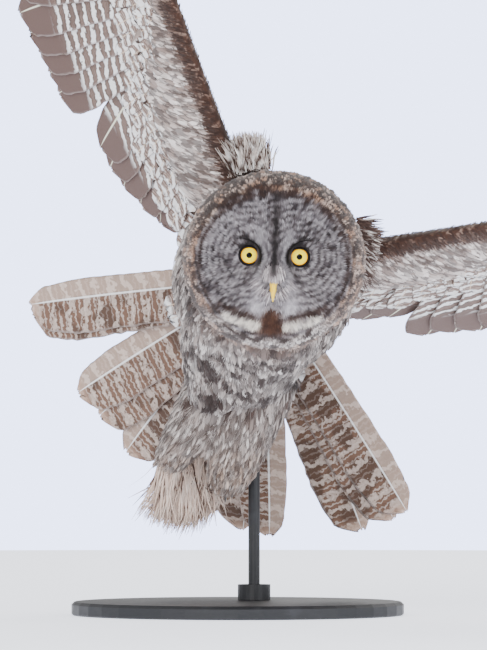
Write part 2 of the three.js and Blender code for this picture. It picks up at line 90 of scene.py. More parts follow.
# Value noise from 0 to 1, the same on every run: the large odd numbers only stir each cell's bits
def grain(p, size, seed=0):
    q = np.asarray(p, float) / size + seed * 17.31
    cell = np.floor(q).astype(np.int64)
    f = q - cell
    f = f * f * (3 - 2 * f)

    def at(dx, dy, dz):
        h = (cell[:, 0] + dx) * 374761393 + (cell[:, 1] + dy) * 668265263 + (cell[:, 2] + dz) * 2147483647
        h = (h ^ (h >> 13)) * 1274126177
        return ((h ^ (h >> 16)) & 0xFFFF) / 65535.0

    total = 0
    for dx in (0, 1):
        for dy in (0, 1):
            for dz in (0, 1):
                share = np.where(dx, f[:, 0], 1 - f[:, 0]) * np.where(dy, f[:, 1], 1 - f[:, 1])
                total = total + at(dx, dy, dz) * share * np.where(dz, f[:, 2], 1 - f[:, 2])
    return total


def blendTone(a, b, share):
    a, b = np.asarray(a, float), np.asarray(b, float)
    return a + (b - a) * np.clip(share, 0, 1)[:, None]


def toLinear(colour):
    c = np.clip(np.asarray(colour, float) / 255, 0, 1)
    return np.where(c < 0.04045, c / 12.92, ((c + 0.055) / 1.055) ** 2.4)


# The renderer's film softens contrast and colour, so the paint is stretched a little around mid grey
paint = {"contrast": 1.35, "colour": 1.35, "pivot": 0.22, "lightness": (0.25, 0.65, 0.1)}


def toPaint(colour):
    c = toLinear(colour)
    light = np.maximum((c * np.array(paint["lightness"])).sum(-1, keepdims=True), 1e-4)
    lifted = paint["pivot"] * (light / paint["pivot"]) ** paint["contrast"]
    return np.clip(lifted * (1 + paint["colour"] * (c / light - 1)), 0.002, 0.92)


def tone(r, g, b):
    return (*[float(v) for v in toPaint((r, g, b))], 1.0)


# Mesh helpers: vertices come in millimetres
def addToScene(name, data):
    obj = bpy.data.objects.new(name, data)
    bpy.context.scene.collection.objects.link(obj)
    return obj


def takeMesh(obj):
    graph = bpy.context.evaluated_depsgraph_get()
    mesh = bpy.data.meshes.new_from_object(obj.evaluated_get(graph))
    bpy.data.objects.remove(obj)
    return mesh


def makeObject(name, points, faces, material=None):
    mesh = bpy.data.meshes.new(name)
    mesh.from_pydata((np.asarray(points) * mm).tolist(), [], [tuple(int(i) for i in f) for f in faces])
    mesh.update()
    mesh.shade_smooth()
    if material:
        mesh.materials.append(material)
    return addToScene(name, mesh)


def storeField(mesh, name, kind, domain, values):
    field = mesh.attributes.new(name, kind, domain)
    key = {"FLOAT": "value", "FLOAT_VECTOR": "vector", "FLOAT_COLOR": "color", "FLOAT2": "vector"}[kind]
    field.data.foreach_set(key, np.ascontiguousarray(values, dtype=np.float32).ravel())


def readField(mesh, name, wide=1):
    field = mesh.attributes[name]
    values = np.empty(len(field.data) * wide, np.float32)
    field.data.foreach_get("value" if wide == 1 else "vector", values)
    return values.reshape(-1, wide) if wide > 1 else values


def readVertices(mesh, key):
    flat = np.empty(len(mesh.vertices) * 3, np.float32)
    mesh.vertices.foreach_get(key, flat)
    return flat.reshape(-1, 3).astype(float)


def readPoints(mesh):
    return readVertices(mesh, "co") / mm


# Each strand or vane gets its own patch in a grid of columns on the OFBake map
def storePatches(mesh, cell, across, along, columns, margin):
    rowsUp = math.ceil((cell.max() + 1) / columns)
    u = (cell % columns + margin[0] + (1 - 2 * margin[0]) * across) / columns
    v = (cell // columns + margin[1] + (1 - 2 * margin[1]) * along) / rowsUp
    layer = mesh.uv_layers.new(name="OFBake")
    layer.data.foreach_set("uv", np.stack([u, v], -1).astype(np.float32).ravel())


def loopVertices(mesh):
    flat = np.empty(len(mesh.loops), np.int32)
    mesh.loops.foreach_get("vertex_index", flat)
    return flat


# A closed skin over rings of points, with a point in the middle of each end
def loft(rings):
    rings = np.asarray(rings, float)
    count, around = rings.shape[:2]
    points = list(rings.reshape(-1, 3)) + [rings[0].mean(0), rings[-1].mean(0)]
    faces = []
    for i in range(count - 1):
        for j in range(around):
            k = (j + 1) % around
            faces.append((i * around + j, i * around + k, (i + 1) * around + k, (i + 1) * around + j))
    last = (count - 1) * around
    for j in range(around):
        k = (j + 1) % around
        faces.append((k, j, count * around))
        faces.append((last + j, last + k, count * around + 1))
    return np.array(points), faces


def tube(path, wide, high, sides, across):
    path = np.asarray(path, float)
    rings = []
    turn = circle(sides)
    for i, at in enumerate(path):
        along = unit(path[min(i + 1, len(path) - 1)] - path[max(i - 1, 0)])
        side = unit(across - np.dot(across, along) * along)
        up = np.cross(along, side)
        rings.append(at + np.cos(turn)[:, None] * side * wide[i] + np.sin(turn)[:, None] * up * high[i])
    return loft(rings)


def joinParts(parts):
    points, faces, start = [], [], 0
    for p, f in parts:
        points.append(p)
        faces += [tuple(i + start for i in face) for face in f]
        start += len(p)
    return np.concatenate(points), faces


def finishPiece(obj, slotName, *nodes):
    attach(obj, "root")
    if nodes:
        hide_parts(*nodes)


def makeFacesPointOut(mesh):
    work = bmesh.new()
    work.from_mesh(mesh)
    bmesh.ops.recalc_face_normals(work, faces=work.faces)
    work.to_mesh(mesh)
    work.free()


# Shader helper
class Finish:
    def __init__(self, name, roughness=0.8):
        self.material = bpy.data.materials.new(name)
        self.material.use_nodes = True
        self.tree = self.material.node_tree
        self.shader = self.tree.nodes["Principled BSDF"]
        self.shader.inputs["Roughness"].default_value = roughness

    def node(self, kind, **settings):
        made = self.tree.nodes.new(kind)
        for key, value in settings.items():
            setattr(made, key, value)
        return made

    def plug(self, socket, value):
        if hasattr(value, "is_output"):
            self.tree.links.new(value, socket)
        else:
            socket.default_value = value

    def field(self, name, output="Fac"):
        made = self.node("ShaderNodeAttribute", attribute_type="GEOMETRY", attribute_name=name)
        return made.outputs[output]

    def math(self, operation, a, b=0.0):
        made = self.node("ShaderNodeMath", operation=operation)
        self.plug(made.inputs[0], a)
        self.plug(made.inputs[1], b)
        return made.outputs[0]

    def step(self, value, low, high):
        made = self.node("ShaderNodeMapRange", interpolation_type="SMOOTHSTEP")
        self.plug(made.inputs["Value"], value)
        made.inputs["From Min"].default_value = low
        made.inputs["From Max"].default_value = high
        return made.outputs["Result"]

    def mix(self, share, a, b, mode="MIX"):
        made = self.node("ShaderNodeMix", data_type="RGBA", blend_type=mode, clamp_factor=True)
        self.plug(made.inputs["Factor"], share)
        self.plug(made.inputs[6], a)
        self.plug(made.inputs[7], b)
        return made.outputs[2]

    def noise(self, scale, detail=2.0, vector=None):
        made = self.node("ShaderNodeTexNoise")
        made.inputs["Scale"].default_value = scale
        made.inputs["Detail"].default_value = detail
        if vector is None:
            vector = self.node("ShaderNodeTexCoord").outputs["Object"]
        self.plug(made.inputs["Vector"], vector)
        return made.outputs["Fac"]

    # noise around zero, so that it shifts a value both ways
    def wobble(self, scale, detail, amount):
        return self.math("MULTIPLY", self.math("SUBTRACT", self.noise(scale, detail), 0.5), amount)

    def vector(self, x, y, z=0.0):
        made = self.node("ShaderNodeCombineXYZ")
        for socket, value in zip(made.inputs, (x, y, z)):
            self.plug(socket, value)
        return made.outputs[0]

    def bump(self, height, strength, distance=0.001):
        made = self.node("ShaderNodeBump")
        made.inputs["Strength"].default_value = strength
        made.inputs["Distance"].default_value = distance
        self.plug(made.inputs["Height"], height)
        self.plug(self.shader.inputs["Normal"], made.outputs["Normal"])

    def colour(self, value, shade=None):
        if shade is not None:
            value = self.mix(1.0, value, self.vector(shade, shade, shade), "MULTIPLY")
        self.plug(self.shader.inputs["Base Color"], value)

    def set(self, **values):
        for key, value in values.items():
            self.shader.inputs[key.replace("_", " ")].default_value = value


# Plumage of the body: its markings come from the colours painted on each tuft and on the skin
plumageLook = {
    "fineGrain": 900.0, "grainDepth": 0.34, "broadGrain": 60.0, "broadDepth": 0.2, "sheen": 0.18,
    "fleck": (58, 40, 34), "fleckFrom": 0.49, "fleckTo": 0.52, "fleckDetail": 2.6,
}


def plumageFinish():
    look = plumageLook
    f = Finish("bodyPlumage", 0.82)
    flecks = f.noise(1.0, look["fleckDetail"], f.field("lay", "Vector"))
    flecks = f.step(flecks, look["fleckFrom"], look["fleckTo"])
    flecks = f.math("MULTIPLY", flecks, f.field("plume", "Alpha"))
    painted = f.mix(flecks, f.field("plume", "Color"), tone(*look["fleck"]))
    shade = f.math("ADD", f.wobble(look["fineGrain"], 3, look["grainDepth"]), 1.0)
    shade = f.math("ADD", shade, f.wobble(look["broadGrain"], 2, look["broadDepth"]))
    f.colour(painted, shade)
    f.set(Sheen_Weight=look["sheen"], Sheen_Roughness=0.6, Specular_IOR_Level=0.2)
    f.bump(f.noise(1400, 2), 0.25, 0.0006)
    return f.material


bodyPlumage = plumageFinish()
print("materials of the coat made")

# The flesh under the coat, as lofts that lie inside the solids by the coat's depth
skinShape = {
    "voxel": 0.003, "faceDepth": 2.2, "headDepth": 4.2, "edgeDepth": 3.5, "bodyDepth": 3.0, "legDepth": 2.5,
    "armDepth": 3.5, "softening": 36,
}
# share of the head's half width and how far forward
headForm = {"halfWidth": 93.0, "halfHeight": 91.0, "halfDepth": 90.0, "faceFrom": 45.0, "around": 96}
headProfile = [
    (0.1, 56), (0.2, 55.5), (0.3, 54.5), (0.4, 53), (0.5, 52), (0.6, 51.5), (0.69, 52), (0.76, 53),
    (0.82, 49), (0.88, 41), (0.94, 29), (0.985, 14), (1, -2), (0.985, -22), (0.93, -42), (0.82, -58),
    (0.64, -70), (0.4, -78), (0.16, -82),
]
# back, up, side, half width and half height
torsoSections = [
    (-52, 0, -1, 40, 40), (-44, -1, -1, 60, 59), (-25, -4, -1, 78, 75), (5, -10, -1, 88, 84),
    (40, -22, 1, 94, 91), (80, -39, 3, 94, 91), (115, -53, 6, 87, 83), (145, -59, 8, 69, 66),
    (170, -58, 7, 46, 44), (188, -55, 5, 27, 26),
]
# x, y, z and radius
legPaths = {
    "right": [(-4, -42, 262, 35), (-22, -34, 232, 34), (-43, -24, 200, 28), (-62, -12, 172, 23),
              (-74, 2, 156, 17)],
    "left": [(26, -46, 262, 40), (16, -38, 228, 40), (5, -28, 190, 34), (-6, -16, 154, 28),
             (-13, -1, 130, 20)],
}
eyes = {"apart": 25.0, "up": 3.5, "radius": 12.5, "front": 50.5, "iris": 8.4, "corner": 0.24, "lid": 0.1}
faceForm = {
    "dish": 8.5, "dishWidth": 27.0, "ridge": 6.0, "ridgeWidth": 8.0, "muzzle": 8.0, "muzzleWidth": 17.0,
    "muzzleDown": 24.0, "brow": 2.5,
}


def muzzleRise(x, z):
    return faceForm["muzzle"] * bell(np.hypot(x, z + faceForm["muzzleDown"]), faceForm["muzzleWidth"])


def faceRelief(x, z):
    form = faceForm
    inDisc = 1 - smooth(np.hypot(x, z), 65, 79)
    fromEye = np.hypot(np.abs(x) - eyes["apart"] - 4, z - eyes["up"])
    dish = -form["dish"] * bell(fromEye, form["dishWidth"])
    ridge = form["ridge"] * bell(x, form["ridgeWidth"]) * smooth(z, -40, -10) * (1 - smooth(z, 30, 62))
    brow = form["brow"] * bell(np.abs(x) - 13, 6) * bell(z - 14, 13)
    return inDisc * (dish + ridge + muzzleRise(x, z) + brow)


def headLoft():
    turn = circle(headForm["around"])
    table = np.array(headProfile, float)
    rings = []
    for s in np.arange(0, len(table) - 0.5, 0.5):
        share, forward = [np.interp(s, np.arange(len(table)), table[:, k]) for k in (0, 1)]
        x = share * headForm["halfWidth"] * np.cos(turn)
        z = share * headForm["halfHeight"] * np.sin(turn)
        stand = forward + (faceRelief(x, z) if forward > 0 else 0) + 0 * x
        out = unit(np.stack([share * np.cos(turn), -stand / headForm["halfDepth"], share * np.sin(turn)], -1))
        depths = (skinShape["headDepth"], skinShape["edgeDepth"])
        depth = np.interp(forward, (0, headForm["faceFrom"]), depths)
        if forward > headForm["faceFrom"]:
            depth = skinShape["faceDepth"]
        p = np.stack([x, -stand, z], -1) - depth * out
        rings.append(headPoint(p[:, 0], p[:, 1], p[:, 2]))
    return loft(rings)


def torsoLoft():
    depth = skinShape["bodyDepth"]
    turn = circle(40)
    rings = []
    for back, up, side, wide, high in torsoSections:
        x = side + max(wide - depth, 5) * np.cos(turn)
        rings.append(bodyPoint(x, back, up + max(high - depth, 5) * np.sin(turn)))
    return loft(rings)


wings = {
    "shoulder": (60, 10, 35), "dihedral": 39.0, "sweep": 14.0, "elbow": (96, 80), "wrist": (238, 10),
    "handTip": (336, 12), "camber": 18.0, "camberAt": 270.0,
    "droop": 78.0, "droopFrom": 230.0, "droopAt": 640.0,
    "right": {"mirror": -1, "incidence": 32.0, "spacing": 24.0, "partAfter": 5, "partGap": 43.0,
              "innerReach": 246.0},
    "left": {"mirror": 1, "incidence": 23.0, "spacing": 28.5, "partAfter": 8, "partGap": 4.0,
             "innerReach": 212.0},
}
# along the arm, front edge, rear edge and thickness
armSections = [
    (-46, 8, 96, 26), (-20, 4, 112, 42), (20, 1, 122, 38), (70, -1, 122, 32), (120, -2, 108, 28),
    (180, -3, 76, 25), (232, -4, 48, 22), (275, -3, 38, 17), (315, 0, 31, 12), (342, 5, 22, 6),
]

# Loose feathers that fill in below the neck: x, y, z and radius
loosePaths = {
    "throat": [(36, -268, 320, 50), (34, -215, 315, 56), (28, -160, 300, 57), (18, -110, 280, 54),
               (8, -66, 258, 48)],
    "flank": [(-6, -232, 332, 42), (-12, -182, 310, 43), (-17, -132, 286, 41), (-19, -96, 260, 37),
              (-21, -62, 234, 31)],
}


# A wing point is along the arm, behind its front edge, and above its plane
def wingAxes(side):
    w = wings[side]
    d, s, i = [math.radians(v) for v in (wings["dihedral"], wings["sweep"], w["incidence"])]
    along = np.array([math.cos(d) * math.cos(s), -math.sin(s), math.sin(d) * math.cos(s)])
    behind = np.array([0, math.cos(i), -math.sin(i)])
    behind = unit(behind - np.dot(behind, along) * along)
    above = np.cross(along, behind)
    return [w["mirror"] * v[0] * bodyX + v[1] * bodyY + v[2] * bodyZ for v in (along, behind, above)]


def wingPlace(side):
    x, y, z = wings["shoulder"]
    origin = bodyPoint(wings[side]["mirror"] * x, y, z)
    flat = placeIn(origin, *wingAxes(side))

    def place(a, b, h):
        camber = wings["camber"] * (np.maximum(b, 0) / wings["camberAt"]) ** 2
        reach = np.maximum(np.asarray(a, float) - wings["droopFrom"], 0)
        reach = reach / (wings["droopAt"] - wings["droopFrom"])
        return flat(a, b, h - camber - wings["droop"] * reach ** 2)

    return place


def wingCoordinates(side, p):
    x, y, z = wings["shoulder"]
    d = p - bodyPoint(wings[side]["mirror"] * x, y, z)
    return [d @ axis for axis in wingAxes(side)]


def armRear(along):
    table = np.array(armSections, float)
    return np.interp(along, table[:, 0], table[:, 2])


def armLoft(side):
    place = wingPlace(side)
    depth = skinShape["armDepth"]
    turn = circle(28)
    rings = []
    for along, front, rear, thick in armSections:
        half = (rear - front) / 2 - depth
        slim = 1 - 0.45 * np.cos(turn) * np.where(np.cos(turn) > 0, 1, 0.2)
        high = max(thick / 2 - depth, 1.8) * slim
        rings.append(place(along, (front + rear) / 2 + half * np.cos(turn), high * np.sin(turn)))
    return loft(rings)


tailForm = {
    "root": (0, 185, -45), "depression": 60.0, "twist": 15.0, "length": 284.0, "width": 58.0, "layer": 1.1,
    "spread": (-48, -46, -26, -19, -9, 11, 17, 26.5, 33, 56, 64.5, 68.5), "rootSpread": 0.05, "curve": 0.03,
}


def tailPlace():
    d, t = math.radians(tailForm["depression"]), math.radians(tailForm["twist"])
    along = bodyY * math.cos(d) - bodyZ * math.sin(d)
    up = np.cross(bodyX, along)
    across = bodyX * math.cos(t) - up * math.sin(t)
    above = up * math.cos(t) + bodyX * math.sin(t)
    return placeIn(bodyPoint(*tailForm["root"]), along, across, above)


footForm = {"toeLength": 32.0, "toeRadius": 5.2, "claw": 21.0, "clawRadius": 2.4, "lift": 8.0}
toes = [(-17, 7, 0.9), (0, 12, 1), (17, 7, 0.92), (8, -30, 0.7)]  # turn, lean and share of the length


def toePath(side, toe, start, end, steps):
    turn, lean, share = toe
    x, y, z = legPaths[side][-1][:3]
    place = placeIn((x, y, z + footForm["lift"]), np.array([1.0, 0, 0]), np.array([0, 0, -1.0]), bodyY)
    s = np.linspace(start, end, steps + 1)
    out = footForm["toeLength"] * share * s
    curl = np.radians(lean * (1 + 0.9 * s))
    turn = math.radians(turn)
    return place(math.sin(turn) * out, np.sin(curl) * out * 0.85, 8 + np.cos(curl) * out * math.cos(turn))


def legParts(side):
    x = np.array([1.0, 0, 0])
    path = np.array(legPaths[side], float)
    radius = path[:, 3] - skinShape["legDepth"]
    parts = [tube(path[:, :3], radius, radius * 0.92, 24, x)]
    ankle = path[-1, :3] + (0, 0, footForm["lift"])
    parts.append(tube([ankle + (0, v, 0) for v in (-6, 2, 12, 20)], [7, 9, 9, 4], [5, 7, 7, 3], 16, x))
    for toe in toes:
        line = toePath(side, toe, 0, 0.97, 4)
        parts.append(tube(line, [4.0] * 5, [4.0] * 5, 10, x))
    return parts


# Rounds off where the legs and neck join the trunk, and leaves the face and wings as they are
def softenFlesh(mesh):
    p = readPoints(mesh)
    x, f, z = toHead(p)
    free = smooth(np.sqrt(x ** 2 + (f * 1.1) ** 2 + z ** 2), 84, 104) + smooth(-f, 10, 40)
    free = np.clip(free, 0, 1) * (1 - smooth(p[:, 1], 0, 30) * (p[:, 2] < 190))
    for side in ("right", "left"):
        free = free * (1 - smooth(wingCoordinates(side, p)[0], 25, 60))
    edges = np.empty(len(mesh.edges) * 2, np.int32)
    mesh.edges.foreach_get("vertices", edges)
    a, b = edges.reshape(-1, 2).T
    count = np.bincount(a, minlength=len(p)) + np.bincount(b, minlength=len(p))
    for _ in range(skinShape["softening"]):
        total = [np.bincount(a, p[b, k], len(p)) + np.bincount(b, p[a, k], len(p)) for k in range(3)]
        p = p + 0.5 * free[:, None] * (np.stack(total, -1) / np.maximum(count, 1)[:, None] - p)
    mesh.vertices.foreach_set("co", (p * mm).astype(np.float32).ravel())
    mesh.update()


def buildSkin():
    neckStart, neckEnd = headPoint(0, 30, 0), bodyPoint(0, -10, 0)
    neckLine = [neckStart + (neckEnd - neckStart) * share for share in (0, 0.3, 0.65, 1)]
    depth = skinShape["bodyDepth"]
    neckWide, neckHigh = [np.array(v) - depth for v in ((72, 81, 85, 76), (70, 78, 80, 72))]
    neck = tube(neckLine, neckWide, neckHigh, 40, bodyX)
    tail = tailPlace()
    stump = [tail(a, 0, -3) for a in (-34, -10, 20, 52, 70)]
    tailAcross = tail(0, 1, 0) - tail(0, 0, 0)
    core = tube(stump, [17, 27, 31, 26, 12], [18, 20, 13, 6, 2.2], 20, tailAcross)
    parts = [headLoft(), torsoLoft(), neck, core, armLoft("right"), armLoft("left")]
    for path in loosePaths.values():
        radius = np.array(path)[:, 3] - depth
        parts.append(tube(np.array(path)[:, :3], radius, radius, 36, bodyX))
    parts += legParts("right") + legParts("left")
    raw = makeObject("skinRaw", *joinParts(parts))
    remesh = raw.modifiers.new("remesh", "REMESH")
    remesh.mode = "VOXEL"
    remesh.voxel_size = skinShape["voxel"]
    soften = raw.modifiers.new("soften", "SMOOTH")
    soften.factor = 0.5
    soften.iterations = 5
    done = takeMesh(raw)
    softenFlesh(done)
    done.name = "skin"
    done.shade_smooth()
    return addToScene("skin", done)


skin = buildSkin()
print("skin made:", len(skin.data.vertices), "vertices")


# How near each skin point is to each part of the body, and which way its feathers lie
def chainField(p, chain):
    chain = np.asarray(chain, float)
    best = np.full(len(p), 1e9)
    way = np.zeros((len(p), 3))
    share = np.zeros(len(p))
    for i in range(len(chain) - 1):
        a, b = chain[i, :3], chain[i + 1, :3]
        ra, rb = chain[i, 3], chain[i + 1, 3]
        t = np.clip((p - a) @ (b - a) / np.dot(b - a, b - a), 0, 1)
        d = np.linalg.norm(p - a - t[:, None] * (b - a), axis=1) - (ra + (rb - ra) * t)
        near = d < best
        best = np.where(near, d, best)
        way[near] = unit(b - a)
        share = np.where(near, (i + t) / (len(chain) - 1), share)
    return best, way, share


# The facial disc as shares of its half sizes: 1 at its edge
faceDisc = {"offX": 0.5, "offZ": 4.0, "halfWidth": 73.5, "halfHeight": 69.0, "ahead": 12.0, "outside": 3.0}


def discShare(x, z):
    d = faceDisc
    return np.hypot((x + d["offX"]) / d["halfWidth"], (z + d["offZ"]) / d["halfHeight"])


def headFlow(x, z):
    eyeGaps = [np.hypot(x - side * eyes["apart"], z - eyes["up"]) for side in (-1, 1)]
    fromEye = [unit(np.stack([x - side * eyes["apart"], z - eyes["up"]], -1)) for side in (-1, 1)]
    fromBill = unit(np.stack([x, z + 22], -1))
    near = [1 / (gap ** 2 + 60) for gap in eyeGaps] + [1.3 / (np.hypot(x, z + 22) ** 2 + 90)]
    flow = unit(sum(v * w[:, None] for v, w in zip(fromEye + [fromBill], near)))
    return np.minimum(*eyeGaps), flow[:, :1] * headX + flow[:, 1:] * headZ


def bodyFields(p, normal):
    x, f, z = toHead(p)
    fields = {}
    headGap = (np.sqrt((x / 88) ** 2 + (f / 66) ** 2 + (z / 86) ** 2) - 1) * 75
    torsoChain = [(*bodyPoint(s, b, u), (w + h) / 2 - 9) for b, u, s, w, h in torsoSections]
    neckChain = [(*headPoint(0, 30, 0), 68), (*bodyPoint(0, -10, 0), 72)]
    gaps = {"head": headGap, "neck": chainField(p, neckChain)[0], "torso": chainField(p, torsoChain)[0]}
    loose = [chainField(p, [(*v[:3], v[3] - 9) for v in path])[0] for path in loosePaths.values()]
    gaps["torso"] = np.minimum.reduce([gaps["torso"], *loose])
    ways = {"neck": np.tile(unit(bodyPoint(0, -10, -20) - headPoint(0, 30, 0)), (len(p), 1))}
    ways["torso"] = chainField(p, torsoChain)[1] * 0.75 + 0.45 * np.array([0, 0, -1.0])
    legShare = np.zeros(len(p))
    facing, behinds, rearGaps = [], [], []
    for side in ("right", "left"):
        chain = [(*v[:3], v[3] - 6) for v in legPaths[side]]
        x0, y0, z0 = legPaths[side][-1][:3]
        chain += [(x0, y0 + 24, z0 + 8, 6), (x0, y0 + 44, z0 + 6, 4)]
        gaps["leg" + side], ways["leg" + side], share = chainField(p, chain)
        legShare = np.where(gaps["leg" + side] < 4, np.maximum(legShare, share), legShare)
        along, behind, above = wingCoordinates(side, p)
        table = np.array(armSections, float)
        front, rear, thick = [np.interp(along, table[:, 0], table[:, k]) for k in (1, 2, 3)]
        limits = [front - behind, behind - rear, np.abs(above + 4) - thick * 0.6, -along - 46]
        gaps["arm" + side] = np.maximum.reduce(limits)
        axes = wingAxes(side)
        ways["arm" + side] = np.tile(axes[1] + 0.35 * axes[0], (len(p), 1))
        facing.append(normal @ axes[2])
        behinds.append(behind)
        rearGaps.append(rear - behind)
    tail = tailPlace()
    stump = [(*tail(a, 0, -3), r) for a, r in ((-30, 20), (20, 20), (72, 10))]
    gaps["stump"], ways["stump"], _ = chainField(p, stump)
    eyeGap, face = headFlow(x, z)
    around = unit(p - np.array(pose["headCentre"]) + np.array([0, 60, 0]))
    disc = discShare(x, z)
    past = smooth(disc, 0.95, 1.1)[:, None]
    ways["head"] = face * (1 - past) + (around + bodyY) * past
    weights = {k: np.exp(-np.maximum(g, -30) / 6) for k, g in gaps.items()}
    total = sum(weights.values())
    for k in weights:
        fields[k] = weights[k] / total
    way = sum(ways[k] * fields[k][:, None] for k in ways)
    fields["lie"] = unit(way - (way * normal).sum(1, keepdims=True) * normal)
    onRight = fields["armright"] > fields["armleft"]
    fields["under"] = smooth(-np.where(onRight, *facing), -0.5, -0.1)
    fields["behind"] = np.where(onRight, *behinds)
    fields["rearGap"] = np.where(onRight, *rearGaps)
    fields["legShare"] = legShare
    fields["disc"] = np.where(f > faceDisc["ahead"], disc, faceDisc["outside"])
    fields["eyeGap"] = np.where(f > faceDisc["ahead"], eyeGap, 99.0)
    fields["faceX"], fields["faceZ"], fields["faceF"] = x, z, f
    return fields


skinPoints = readPoints(skin.data)
skinNormals = readVertices(skin.data, "normal")
fields = bodyFields(skinPoints, skinNormals)

# How long the feathers are, in millimetres
coatSizes = {
    "eyelid": 2.6, "face": 4.2, "rim": 5.6, "crown": 8.5, "nape": 15.0, "breast": 19.0, "belly": 21.0,
    "leg": 11.5, "foot": 6.0, "armFront": 6.5, "armBack": 26.0, "armRearTop": 0.22, "stump": 26.0,
}


def coatLengths(f):
    s = coatSizes
    outwards = (s["face"], s["face"], s["rim"], s["crown"], s["nape"])
    onHead = np.interp(f["disc"], (0.2, 0.95, 1.08, 1.3, 3.0), outwards)
    nearEye = np.interp(f["eyeGap"], (10, 18), (s["eyelid"], s["face"]))
    onHead = np.where(f["eyeGap"] < 18, nearEye, onHead)
    body = np.interp(skinPoints[:, 1], (-170, 40), (s["breast"], s["belly"]))
    leg = np.interp(f["legShare"], (0.1, 0.55, 0.75), (s["leg"] * 1.4, s["leg"], s["foot"]))
    arm = np.interp(f["behind"], (0, 20, 70), (s["armFront"] * 0.8, s["armFront"] * 1.25, s["armBack"]))
    # short on the upper side of the arm's rear edge, so that none hangs out below it
    atRear = 1 - np.interp(f["rearGap"], (2, 20), (s["armRearTop"], 1))
    arm = arm * (1 - atRear * (1 - f["under"]))
    arms = f["armright"] + f["armleft"]
    legs = f["legright"] + f["legleft"]
    trunk = f["neck"] + f["torso"]
    length = f["head"] * onHead + trunk * body + legs * leg + arms * arm + f["stump"] * s["stump"]
    return length * mm


fields["coatLength"] = coatLengths(fields)
arms = fields["armright"] + fields["armleft"]
legs = fields["legright"] + fields["legleft"]
# bare of feathers: the eyes and the bill
inEye = fields["eyeGap"] < 10.6
inBill = (np.hypot(fields["faceX"] / 4.0, (fields["faceZ"] + 33) / 10.5) < 1) & (fields["faceF"] > 40)
isFace = (fields["disc"] < 1.09) & (fields["head"] > 0.45)
isHead = (fields["head"] > 0.5) & ~isFace
isArm = (arms > 0.45) & ~isHead
isLeg = ((legs > 0.5) | (fields["stump"] > 0.6)) & ~isArm & ~isHead
isBody = ~(isFace | isHead | isArm | isLeg)
isFront = skinNormals @ unit(np.array([0, -0.8, -0.6])) > 0.05
zones = {
    "zoneFace": isFace & ~(inEye | inBill), "zoneHead": isHead, "zoneFront": isBody & isFront,
    "zoneBack": isBody & ~isFront, "zoneLegs": isLeg, "zoneArms": isArm,
}


def unwrapSkin(obj):
    bpy.context.view_layer.objects.active = obj
    obj.select_set(True)
    bpy.ops.object.mode_set(mode="EDIT")
    bpy.ops.mesh.select_all(action="SELECT")
    bpy.ops.uv.smart_project(angle_limit=1.2, island_margin=0.002)
    bpy.ops.object.mode_set(mode="OBJECT")
    obj.select_set(False)
    obj.data.uv_layers[0].name = "OFBake"


unwrapSkin(skin)
kept = ("head", "neck", "torso", "armright", "armleft", "under", "behind", "legShare", "coatLength", "stump")
for key in kept:
    storeField(skin.data, key, "FLOAT", "POINT", fields[key])
storeField(skin.data, "legs", "FLOAT", "POINT", legs)
storeField(skin.data, "lie", "FLOAT_VECTOR", "POINT", fields["lie"])
for key, chosen in zones.items():
    storeField(skin.data, key, "FLOAT", "POINT", chosen.astype(float))
print("skin unwrapped and mapped")

# Colours of the plumage, as the eye sees them: 0 to 255
tones = {
    "discPale": (170, 166, 169), "discDark": (48, 41, 45), "rim": (58, 38, 32), "buff": (168, 130, 108),
    "white": (226, 220, 212), "puff": (198, 195, 200), "chin": (98, 68, 56), "lore": (170, 167, 170),
    "black": (30, 24, 25), "crownDark": (54, 34, 28), "crownPale": (198, 180, 170),
    "greyPale": (226, 222, 219), "greyMid": (148, 134, 127), "greyDark": (78, 62, 55),
    "blotch": (64, 44, 38), "band": (88, 62, 52), "liningPale": (242, 235, 231),
    "backDark": (86, 72, 66), "backPale": (166, 152, 142), "tan": (196, 166, 146),
    "bristlePale": (196, 192, 194), "bristleDark": (112, 104, 106),
}


# Dark lines by each eye, as offsets from the eye's centre: towards the bill, then up
browLine = ((11, -6), (11.8, 0), (10.2, 6), (6.8, 11), (0.5, 14.8), (-6.5, 16.8), (-13, 16.4))
lowerLine = ((11, -6), (9, -14), (4, -21), (-3, -27))


def lineGap(x, z, line):
    gap = np.full(len(x), 1e6)
    for (x0, z0), (x1, z1) in zip(line[:-1], line[1:]):
        long = (x1 - x0) ** 2 + (z1 - z0) ** 2
        t = np.clip(((x - x0) * (x1 - x0) + (z - z0) * (z1 - z0)) / long, 0, 1)
        gap = np.minimum(gap, np.hypot(x - x0 - t * (x1 - x0), z - z0 - t * (z1 - z0)))
    return gap


# Grey rings round each eye, a black streak between them, and the pale lores beside it
facePaint = {
    "ring": 5.6, "ringShare": 0.86, "ringFrom": 0.07, "loreOff": 12.0, "loreWidth": 5.5, "streakWidth": 3.6,
    "browWidth": 1.3, "lowerWidth": 1.9, "lowerShare": 0.6, "rimGap": 10.5, "rimWidth": 2.4, "marks": 0.38,
}


